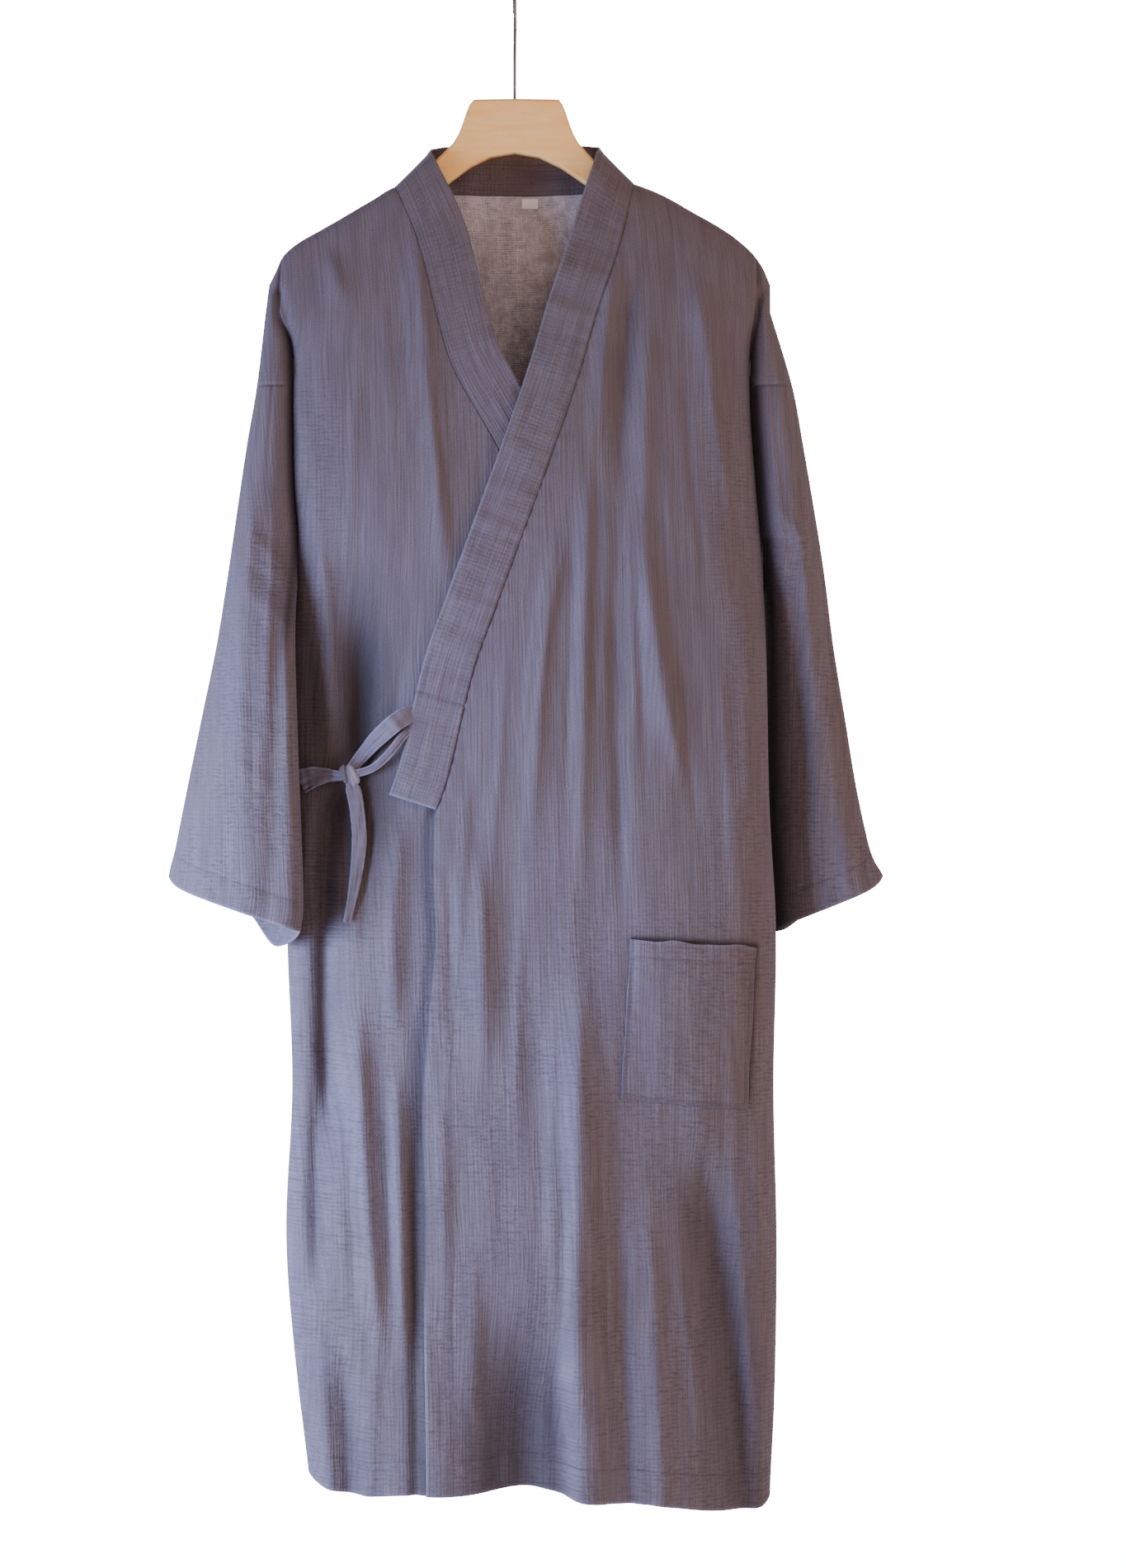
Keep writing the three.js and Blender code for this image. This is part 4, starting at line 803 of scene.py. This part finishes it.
for which, f in fronts.items():
    def surface(x, z, which=which):  # this layer's front
        return frontY(x, z, which)
    x, y, z = panelGrid(f["side"], -1, f["main"], panelShape["cap"], rows, f["topX"], f["edgeX"], surface)
    up = level - hemLeft + 0 * x
    fromEdge = np.abs(x - f["edgeX"](z))
    y = y - hemPucker(x, z, up, 3 if which == "over" else 4) * smooth(fromEdge / 8)
    # gathers where the body is sewn to the collar, drawn across the seam
    beside = bell(fromEdge - 4, 9) * (z > bandEnd - 10) * smooth((shoulderZ(x) - z) / 50)
    y = y - 0.4 * beside * ripple(z, fromEdge / 4, 21 if which == "over" else 22, 5, 15)
    # the free front edge below the band is turned back once and stitched
    free = smooth((bandEnd - z) / 12)
    y = y - free * (0.5 * smooth((panelShape["edgeFold"] - fromEdge) / 3)
                    + 0.35 * ripple(z, fromEdge, 23, 5, 34) * edgeOn(fromEdge, 26))
    groovesHere = carve(x, z, shoulderGrooves[which])
    y = y + groovesHere * smooth((shoulderZ(x) - z) / 20)
    frontGrids[which] = (x, y, z)
    j, i = cells(x)
    kept = (i < f["main"]) | (j < marks["cap"]) | ((i == f["main"]) & (j < webEnd))
    # the turned edge shows pale near the hem
    pale = 0.4 * smooth((-1130 - z) / 120) + 0.15 * ripple(z, 0 * z, 29, 4, 120)
    wornAndLit = np.maximum(edgeOn(fromEdge, 3.0) * free * pale, edgeOn(up, 2.5))
    sewn = 0.25 * bell(fromEdge, 1.3) * (1 - free)
    # painted shade: the over front is darker round its pocket and on its free edge, the under front beside
    # that edge and in the hollow behind the ties
    if which == "over":
        paintedShade = np.maximum(pocketShade(x, z), edgeOn(fromEdge, 2.5) * free * smooth((z + 1240) / 110))
    else:
        paintedShade = mix(0.9, 0.6, free) * bell(x - overEdgeX(z) + 5, mix(5, 9, smooth((-915 - z) / 60)))
        hollow = smooth((z - panelShape["hollowEnd"]) / 90) * smooth((panelShape["hollowTop"] - z) / 110)
        paintedShade = np.maximum(paintedShade, 0.9 * bell(x - panelShape["hollowX"], panelShape["hollowHalf"]) * hollow)
    dark = np.maximum.reduce([sewn, 0.8 * armholeShade(x, z, f["side"]), foldShade(frontFolds, x, z), paintedShade])
    hem = np.minimum(np.where(level < -800, up, 500), np.where(z < bandEnd, fromEdge + 6, 500))
    f["piece"] = shell("robe" + which.capitalize() + "Front", (x, y, z), kept, out=(0, -1, 0),
                       uv=(x + y * 0.6, z), hem=hem, wornAndLit=wornAndLit, shade=dark, slack=slackMap(x, z))
print("fronts made")

# The back, one sheet from sleeve to sleeve, in two halves of the same surface joined in one mesh.
backShape = {"main": 66, "flat": (0.61, 1.19), "area": 0.60}


def backMiddle(z):  # the back's halves meet in the middle
    return np.zeros(np.shape(z))


halves = [panelGrid(name, 1, backShape["main"], panelShape["cap"], rows, 0, backMiddle, backY)
          for name in ("left", "right")]
x, y, z = [np.concatenate([a[:, :0:-1], b], 1) for a, b in zip(*halves)]
up = level - hemLeft + 0 * x
y = y + hemPucker(x, z, up, 5)
centre = bell(x, 1.6) * smooth((-210 - z) / 40)   # the sewn centre-back seam lies in a slight groove
y = y - 0.7 * centre
first = panelShape["cap"] + 1
last = x.shape[1] - 1 - first
j, i = cells(x)
kept = (j < marks["cap"]) | ((i >= first) & (i < last))
kept = kept | (((i == first - 1) | (i == last)) & (j < webEnd))
dark = np.maximum(foldShade(backFolds, x, z),
                  0.8 * (armholeShade(x, z, "left") + armholeShade(x, z, "right")))
back = shell("robeBack", (x, y, z), kept, out=(0, 1, 0), uv=(x - y * 0.6 + 900, z), hem=up,
             wornAndLit=edgeOn(up, 2.5), shade=dark, slack=slackMap(x, z))
print("back made")

# Sleeves: a tube below the armpit, open to the body above it, with a 25 mm hem at the cuff.
sleeveShape = {"upper": 45, "lower": 123, "round": 132, "cuffHem": 25, "peek": {"left": 34, "right": 11.3},
               "peekFrom": -760, "corner": 8, "cornerFrom": -775,
               "flat": (0.35, 0.47), "area": {"left": 0.113, "right": 0.102}}
sleevePieces = {}
for name in ("left", "right"):
    level = np.concatenate([np.linspace(capEnd, armpit, sleeveShape["upper"] + 1),
                            np.linspace(armpit, cuff, sleeveShape["lower"] + 1)[1:]])[:, None]
    turn = np.linspace(-1, 1, sleeveShape["round"] + 1)[None, :]
    x, y, z = sleeveParts(name, level, turn)
    z[0] -= 0.1
    rear = np.maximum(0, np.sin(turn * math.pi))
    # the back layer of the cuff hangs lower than the front one, and its outer corner is round
    peekFrom, cornerFrom = sleeveShape["peekFrom"], sleeveShape["cornerFrom"]
    drop = rear * smooth((peekFrom - level) / (peekFrom - cuff)) * smooth((np.abs(turn) - 0.56) / 0.2)
    z = z - sleeveShape["peek"][name] * drop
    rounded = bell(turn * 180, 26) * smooth((cornerFrom - level) / (cornerFrom - cuff))
    z = z + sleeveShape["corner"] * rounded
    along = lengths(np.stack([x, y, z], -1))
    up = along[-1:] - along
    outward = np.sign(np.sin(turn * math.pi * 0.999))
    cuffHem = sleeveShape["cuffHem"]
    puckers = 0.5 * ripple(x, up / 5, 61, 5, 24) * np.clip(1 - np.abs(up - 20) / 24, 0, 1)
    y = y + outward * (0.45 * smooth((cuffHem - up) / 3) - 0.7 * bell(up - cuffHem, 2) + puckers)
    girth = lengths(np.stack([x, y, z], -1).transpose(1, 0, 2)).T
    j, i = cells(x, True)
    kept = (i < x.shape[1] - 1) | (j >= sleeveShape["upper"])
    # painted shade in the groove, and on the right all the way down beside the body that stands in front of
    # it
    paintedShade = 0.85 * armholeShade(x, z, name)
    if name == "right":
        paintedShade = np.maximum(paintedShade, 1.35 * bell(x - bodyAt[name](z) - 3, 14))
    u = np.concatenate([girth, girth[:, -1:] + 4], 1)
    v = np.concatenate([z, z[:, :1]], 1)
    sleevePieces[name] = shell("robeSleeve" + name.capitalize(), (x, y, z), kept, wrap=True, out=None,
                               uv=(u + 1800, v), hem=up + 5, wornAndLit=edgeOn(up, 2.5),
                               shade=paintedShade * smooth((np.abs(turn) - 0.55) / 0.3),
                               slack=smooth((-400 - level) / 160) + 0 * x, looks=(gauze, gauze))
print("sleeves made")

# The collar: one folded band, its seam edge up the over front, round the neck and down the under front.
band = {"stations": 620, "across": 30, "neckStations": 90, "neckTurn": 102, "flat": (0.047, 1.44)}


def acrossFront(side, z):
    # direction from the seam to the band's free edge: flat on the front, turning up towards the shoulder
    edgeX, sign = (overX, 1) if side == "over" else (underX, -1)
    run = unit(np.stack([edgeX(z + 12) - edgeX(z - 12), 24 + 0 * z], -1))
    inward = np.stack([-sign * run[:, 1], 0 * z, sign * run[:, 0]], -1)
    up = unit(np.array([-sign, 0, 0.95]))
    share = smooth((z - robe["neckLow"]) / (shoulderZ(neckHalf) - robe["neckLow"]))[:, None]
    return unit(mix(inward, up, share))


def collarGrid(count, wide):
    # points of the band: stations along its seam edge, each with steps across to the free edge
    ends = {}
    for side in ("over", "under"):
        x, y, z = (k[:marks["band"] + 1, 0] for k in frontGrids[side])
        ends[side] = (np.stack([x, y, z], -1), acrossFront(side, z))
    x = np.linspace(band["neckTurn"], -band["neckTurn"], band["neckStations"])
    z = neckZ(x)
    t = np.abs(x) / neckHalf
    across = unit(np.stack([-np.sign(x) * 0.8 * t ** 3, 0.1 * (1 - t), 1 + 0 * x], -1))
    neck = np.stack([x, backY(x, z), z], -1) + robe["neckRise"] * across
    seamEdge = np.concatenate([ends["over"][0][::-1], neck, ends["under"][0]])
    away = np.concatenate([ends["over"][1][::-1], across, ends["under"][1]])
    side = np.repeat([1.0, 0.0, -1.0], [len(ends["over"][0]), len(neck), len(ends["under"][0])])
    # even stations along the seam, softened where the band turns over the shoulder
    run = lengths(seamEdge)
    at = np.linspace(0, run[-1], count)
    seamEdge = np.stack([np.interp(at, run, seamEdge[:, k]) for k in range(3)], -1)
    away = unit(soften(np.stack([np.interp(at, run, away[:, k]) for k in range(3)], -1), 10))
    side = np.interp(at, run, side)
    w = np.linspace(0, 1, wide + 1)[None, :, None]
    # meets its neighbours in the seam
    start = mix(-0.9, 0.1, np.clip(np.abs(side) * 3, 0, 1))[:, None, None]
    place = seamEdge[:, None, :] + away[:, None, :] * (start + w * robe["bandWidth"])
    for which, sign in (("over", 1), ("under", -1)):
        here = (side * sign > 0.5)[:, None]
        flat = frontY(place[..., 0], place[..., 2], which)
        flat = flat - frontY(seamEdge[:, 0], seamEdge[:, 2], which)[:, None]
        fall = smooth((yoke + 60 - seamEdge[:, 2]) / 60)[:, None]
        place[..., 1] = np.where(here, seamEdge[:, None, 1] + flat * fall, place[..., 1])
    return place, at, w[0, :, 0]


place, at, w = collarGrid(band["stations"], band["across"])
x, y, z = place[..., 0], place[..., 1], place[..., 2]
s = at[:, None] + 0 * x
off = w[None, :] * robe["bandWidth"] + 0 * x   # mm from the seam
# the band is soft: shallow slanting wrinkles, deeper beside the seam, with a rolled fold at the free edge
wave = 0.8 * ripple(s, off / 3 + s * 0.15, 41, 6, 70) + 0.25 * ripple(s, off * 1.6, 42, 6, 26)
pull = 0.25 * bell(off - 3, 7) * ripple(s, off / 5, 43, 5, 12)
onBody = np.where(np.abs(s - at[-1] / 2) < 150, 0.3, 1.0)
swell = 0.9 * np.sin(math.pi * np.clip(off / robe["bandWidth"], 0, 1)) ** 0.6
crossSeam = bell(s - 97 - off * 0.05, 1.5)
y = y + 0.9 * crossSeam
y = y - (wave * smooth(off / 10) * np.clip(0.35 + off / 60, 0, 1) + pull + swell) * onBody
wornAndLit = np.maximum(0.5 * edgeOn(robe["bandWidth"] - off, 2.0), edgeOn(s, 2.5))
dark = np.maximum(0.3 * bell(off, 1.3), 0.4 * crossSeam)
collar = shell("robeCollar", (x, y, z), thick=robe["band"], out=(0, -1, 0), uv=(off + 2700, s), wornAndLit=wornAndLit,
               shade=dark, slack=0.5 + 0 * s, looks=(gauze, gauze))
print("collar made")

# The patch pocket lies on the over front: turned-in edges stitched close down three sides, a gaping mouth.
u, v = np.meshgrid(np.linspace(0, 1, 70), np.linspace(0, 1, 84))
corner = {k: np.array(pocket[k], float) for k in ("topLeft", "topRight", "lowLeft", "lowRight")}
topX, topZ = (mix(corner["topLeft"][k], corner["topRight"][k], u) for k in (0, 1))
lowX, lowZ = (mix(corner["lowLeft"][k], corner["lowRight"][k], u) for k in (0, 1))
x = mix(topX, lowX, v) + 0.8 * ripple(u * 20, v * 130, 81, 4, 60) * bell(np.minimum(u, 1 - u), 0.06)
z = mix(topZ, lowZ, v) + 0.9 * ripple(u * 110, v * 20, 82, 4, 50) * bell(np.minimum(v, 1 - v), 0.05)
across, mouth = u * pocket["width"], v * pocket["height"]
inside = np.minimum.reduce([across, (1 - u) * pocket["width"], (1 - v) * pocket["height"]])
stand = mix(pocket["edgeStand"], pocket["stand"], smooth(inside / 12))
gape = pocket["gape"] * np.sin(math.pi * u) * (1 - smooth(v / 0.5))
puff = 0.5 * ripple(across, v * 60, 83, 6, 60) * smooth(inside / 10)
puff = puff + 0.2 * ripple(u * 60, v * 140, 84, 5, 18)
mouthHem = pocket["mouthHem"]
y = (frontY(x, z, "over") - stand - gape - puff * smooth(inside / 14)
     + 0.6 * bell(mouth - mouthHem, 1.6) - 0.4 * smooth((mouthHem - mouth) / 3)
     + 0.35 * bell(inside - 4, 1.5))
pocketPiece = shell("robePocket", (x, y, z), out=(0, -1, 0), uv=(x + 3100, z),
                    hem=np.minimum(mouth + mouthHem, inside + 26),
                    wornAndLit=np.maximum(edgeOn(mouth, 2.2), 0.3 * edgeOn(inside, 2.2)),
                    shade=0.35 * bell(inside - 1, 1.5) + 0 * u, slack=0.85 + 0 * u)
print("pocket made")

# Ties: narrow strips of the same gauze, folded and stitched, tied in a half bow under the collar's end. A
# route's points are x, z and the height above the under front.
tieThick = 1.3
ties = {
    "strap": {"width": lambda v: 8 + 8 * smooth(v / 0.3) - 6 * smooth((v - 0.45) / 0.55),
              "count": 90, "pleat": 0.6, "wornAndLit": 0.6,
              "route": [(-80, -652, 2.6), (-88, -655, 3.4), (-96, -659.5, 8), (-108, -667.5, 14),
                        (-125, -682.5, 14.5), (-139, -698, 12.5), (-146, -707, 10.5)]},
    "loop": {"width": lambda v: 8 - 1.5 * v, "count": 80, "pleat": 0.5, "wornAndLit": 0.3,
             "route": [(-84, -664, 2.6), (-92, -670, 3.4), (-101, -680, 8.5), (-114, -696, 11),
                       (-127, -706.5, 10.5), (-145, -712, 10)]},
    "side": {"width": lambda v: 7 + 14 * smooth(v), "count": 60, "pleat": 1.7, "wornAndLit": 1.6,
             "route": [(-150, -713, 10), (-157.4, -713.5, 9), (-168, -713, 6.5), (-178, -714, 5),
                       (-187, -716, 4.2), (-194, -719, 3.9)]},
    "tail": {"width": lambda v: mix(13, 7, smooth((v - 0.5) / 0.5)) - 5 * (1 - smooth(v / 0.14)),
             "count": 150, "pleat": 0.6, "wornAndLit": 0.5,
             "route": [(-148, -716, 9.5), (-144, -728, 9.5), (-141, -744, 9), (-139, -768, 8),
                       (-142, -804, 7.5), (-150, -845, 7)]},
}


def spline(points, count):
    # centripetal Catmull-Rom through points, ends run on straight
    p = np.array(points, float)
    p = np.concatenate([[2 * p[0] - p[1]], p, [2 * p[-1] - p[-2]]])
    knots = np.concatenate([[0], np.cumsum(np.linalg.norm(np.diff(p, axis=0), axis=1) ** 0.5)])
    at = np.linspace(knots[1], knots[-2], count)
    k = np.clip(np.searchsorted(knots, at, side="right") - 1, 1, len(p) - 3)
    t0, t1, t2, t3 = (knots[k + d][:, None] for d in (-1, 0, 1, 2))
    p0, p1, p2, p3 = (p[k + d] for d in (-1, 0, 1, 2))
    t = at[:, None]
    a1, a2, a3 = (mix(a, b, (t - s) / (e - s))
                  for a, b, s, e in ((p0, p1, t0, t1), (p1, p2, t1, t2), (p2, p3, t2, t3)))
    b1, b2 = mix(a1, a2, (t - t0) / (t2 - t0)), mix(a2, a3, (t - t1) / (t3 - t1))
    return mix(b1, b2, (t - t1) / (t2 - t1))


tiePieces = {}
for name, strap in ties.items():
    line = spline([(x, frontY(np.float64(x), np.float64(z), "under", False) - lift, z)
                   for x, z, lift in strap["route"]], strap["count"])
    along = unit(np.gradient(line, axis=0))
    across = unit(np.stack([along[:, 2], 0 * along[:, 0], -along[:, 0]], -1))
    v = np.linspace(0, 1, strap["count"])
    wide = strap["width"](v)[:, None] / 2
    w = np.linspace(-1, 1, 13)[None, :]
    grid = line[:, None, :] + across[:, None, :] * (w * wide)[..., None]
    s = lengths(line)[:, None]
    seed = 90 + 3 * len(tiePieces)
    # rounded across, with small pleats running along it and a few bends across
    crown = (0.9 * (1 - w ** 2) + strap["pleat"] * ripple(w * wide * 2, s / 7, seed, 5, 9)
             + 0.35 * ripple(w * 3, s, seed + 1, 4, 14))
    grid[..., 1] -= crown
    # the strip's edges are rubbed pale, and the whole strip is painted lighter by the amount in its row:
    # painted light, most on the side tie that hangs in shade
    tiePieces[name] = shell("robeTie" + name.capitalize(), tuple(np.moveaxis(grid, -1, 0)),
                            thick=tieThick, out=(0, -1, 0),
                            uv=(w * wide + 3400 + 20 * len(tiePieces), s + 0 * w),
                            wornAndLit=edgeOn((1 - np.abs(w)) * wide, 1.6) + strap["wornAndLit"], looks=(gauze, gauze))

# The knot: a rounded lump with the turns of the tie wrapped slantwise round it.
knotShape = {"place": (-149, -713, 10), "half": (8.5, 5.5, 10), "lean": 3.0, "thick": 0.6}
kx, kz, lift = knotShape["place"]
halfX, halfY, halfZ = knotShape["half"]
ky = frontY(np.float64(kx), np.float64(kz), "under", False) - lift
a = np.linspace(0, 2 * math.pi, 73)[None, :-1]
b = np.linspace(0.03, math.pi - 0.03, 40)[:, None]
# the turns run down and a little to the right; a deep crease parts the broad front turn from the left one
across = np.sin(b) * np.cos(a)
turns = 1 - 0.30 * bell(across + 0.30 - 0.25 * np.cos(b), 0.13) + 0.05 * np.cos(9 * across + 2 * np.cos(b))
lean = knotShape["lean"] * np.cos(b)
x = kx + 1 - lean + halfX * turns * across
y = ky + halfY * turns * np.sin(b) * np.sin(a)
z = kz + halfZ * turns * np.cos(b)
aboutKnot = np.concatenate([a, a[:, :1] + 2 * math.pi], 1)
# painted highlight: the front of the knot's turns is painted pale blue-white, where the light catches them
knot = shell("robeTieKnot", (x, y, z), wrap=True, thick=knotShape["thick"], out=None,
             uv=(aboutKnot * 8 + 3600 + 0 * b, halfX * b + 0 * aboutKnot),
             wornAndLit=2.3 * smooth((across + 0.1) / 0.3) * smooth((1.2 - across) / 0.4), looks=(gauze, gauze))
print("ties made")

# The bare label on the inside of the back, stitched at its two ends.
label = {"left": 6, "right": 21, "top": -184.5, "bottom": -193.5, "thick": 0.5}
u, v = np.meshgrid(np.linspace(0, 1, 24), np.linspace(0, 1, 16))
x, z = mix(label["left"], label["right"], u), mix(label["top"], label["bottom"], v)
y = backY(x, z) - robe["cloth"] / 2 - seam - label["thick"] - 0.4 * np.sin(math.pi * v)
labelPiece = shell("robeLabel", (x, y, z), thick=label["thick"], out=(0, -1, 0),
                   uv=(x - label["left"], label["top"] - z), looks=(labelTape, labelTape))
print("label made")

# Hanger and hook keep their solids and take their finish.
for name, look in (("hanger", beechWood), ("hook", steelWire)):
    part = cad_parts[name]
    part.data.materials.clear()
    part.data.materials.append(look)

for piece, solid, slot in (
        (fronts["over"]["piece"], "front_over", "gauze"), (fronts["under"]["piece"], "front_under", "gauze"),
        (back, "back", "gauze"), (sleevePieces["left"], "sleeve_left", "gauze"),
        (sleevePieces["right"], "sleeve_right", "gauze"), (collar, "collar", "gauze"),
        (pocketPiece, "pocket", "gauze"), (tiePieces["strap"], "tie_strap", "gauze"),
        (tiePieces["loop"], "tie_loop", "gauze"), (tiePieces["side"], "tie_side", "gauze"),
        (tiePieces["tail"], "tie_tail", "gauze"), (knot, "tie_knot", "gauze"),
        (labelPiece, "label", "label_tape")):
    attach(piece, "root")
    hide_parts(solid)

# Stage: a plain pale floor under the robe, a bright room, and soft lights, the cool one low on the left.
stage = {"floorZ": -1.62, "floor": (3.6, 3.2), "floorY": -0.9, "seen": 16.0, "fill": 0.6, "warm": "ffe7da"}
bpy.ops.mesh.primitive_plane_add(size=1, location=(0, 0, 0))
floor = bpy.context.object
floor.name = "floor"
floor.data.transform(Matrix.Diagonal((*stage["floor"], 1, 1)))
floor.data.transform(Matrix.Translation((0, stage["floorY"], stage["floorZ"])))
paper, tree = newMaterial("palePaper")
shader = node(tree, "ShaderNodeBsdfPrincipled", {"Base Color": linear("f2f1ef"), "Roughness": 0.9})
node(tree, "ShaderNodeOutputMaterial", {"Surface": shader.outputs[0]})
floor.data.materials.append(paper)

world = bpy.data.worlds.new("room")
world.use_nodes = True
world.node_tree.nodes.clear()
seen = node(world.node_tree, "ShaderNodeBackground", {"Color": linear("ffffff"), "Strength": stage["seen"]})
fill = node(world.node_tree, "ShaderNodeBackground", {
    "Color": linear(stage["warm"]), "Strength": stage["fill"]})
ray = node(world.node_tree, "ShaderNodeLightPath").outputs["Is Camera Ray"]
glow = node(world.node_tree, "ShaderNodeMixShader", {"Fac": ray, 1: fill.outputs[0], 2: seen.outputs[0]})
node(world.node_tree, "ShaderNodeOutputWorld", {"Surface": glow.outputs[0]})
scene.world = world


def softLight(name, place, aim, size, power, tint="ffffff", spread=180):
    # a rectangular lamp turned to a point, its place and size in m and its power in W
    lamp = bpy.data.lights.new(name, "AREA")
    lamp.shape, lamp.size, lamp.size_y, lamp.energy = "RECTANGLE", size[0], size[1], power
    lamp.color, lamp.spread = linear(tint)[:3], math.radians(spread)
    made = bpy.data.objects.new(name, lamp)
    made.location = place
    made.rotation_euler = (Vector(aim) - Vector(place)).to_track_quat("-Z", "Y").to_euler()
    scene.collection.objects.link(made)


lamps = {
    "window": {"place": (-1.15, -0.5, -1.0), "aim": (-0.2, 0, -1.0), "size": (0.9, 0.9), "power": 26,
               "tint": "b0ccff", "spread": 90},
    "room": {"place": (2.4, -1.4, -0.9), "aim": (0.2, 0, -0.8), "size": (1.4, 1.4), "power": 36,
             "tint": "ffece0"},
    "front": {"place": (1.2, -2.7, 0.9), "aim": (0, 0, -0.6), "size": (1.2, 1.2), "power": 17,
              "tint": "ffe9dc"},
    "behind": {"place": (0, 2.4, 0.6), "aim": (0, 0, -0.7), "size": (2.4, 1.6), "power": 60},
}
for name, lamp in lamps.items():
    softLight(name, **lamp)
print("stage set")

# The camera looks level along Y; tall is the height in m that it frames in the plane of the hook.
view = {"place": (0.0439, -3.0, -0.72075), "sensor": 36, "tall": 1.425}
lens = bpy.data.cameras.new("view")
lens.sensor_fit, lens.sensor_height = "VERTICAL", view["sensor"]
lens.lens = view["sensor"] * -view["place"][1] / view["tall"]
camera = bpy.data.objects.new("view", lens)
camera.location = view["place"]
camera.rotation_euler = (math.pi / 2, 0, 0)
scene.collection.objects.link(camera)
scene.camera = camera

bpy.context.view_layer.update()
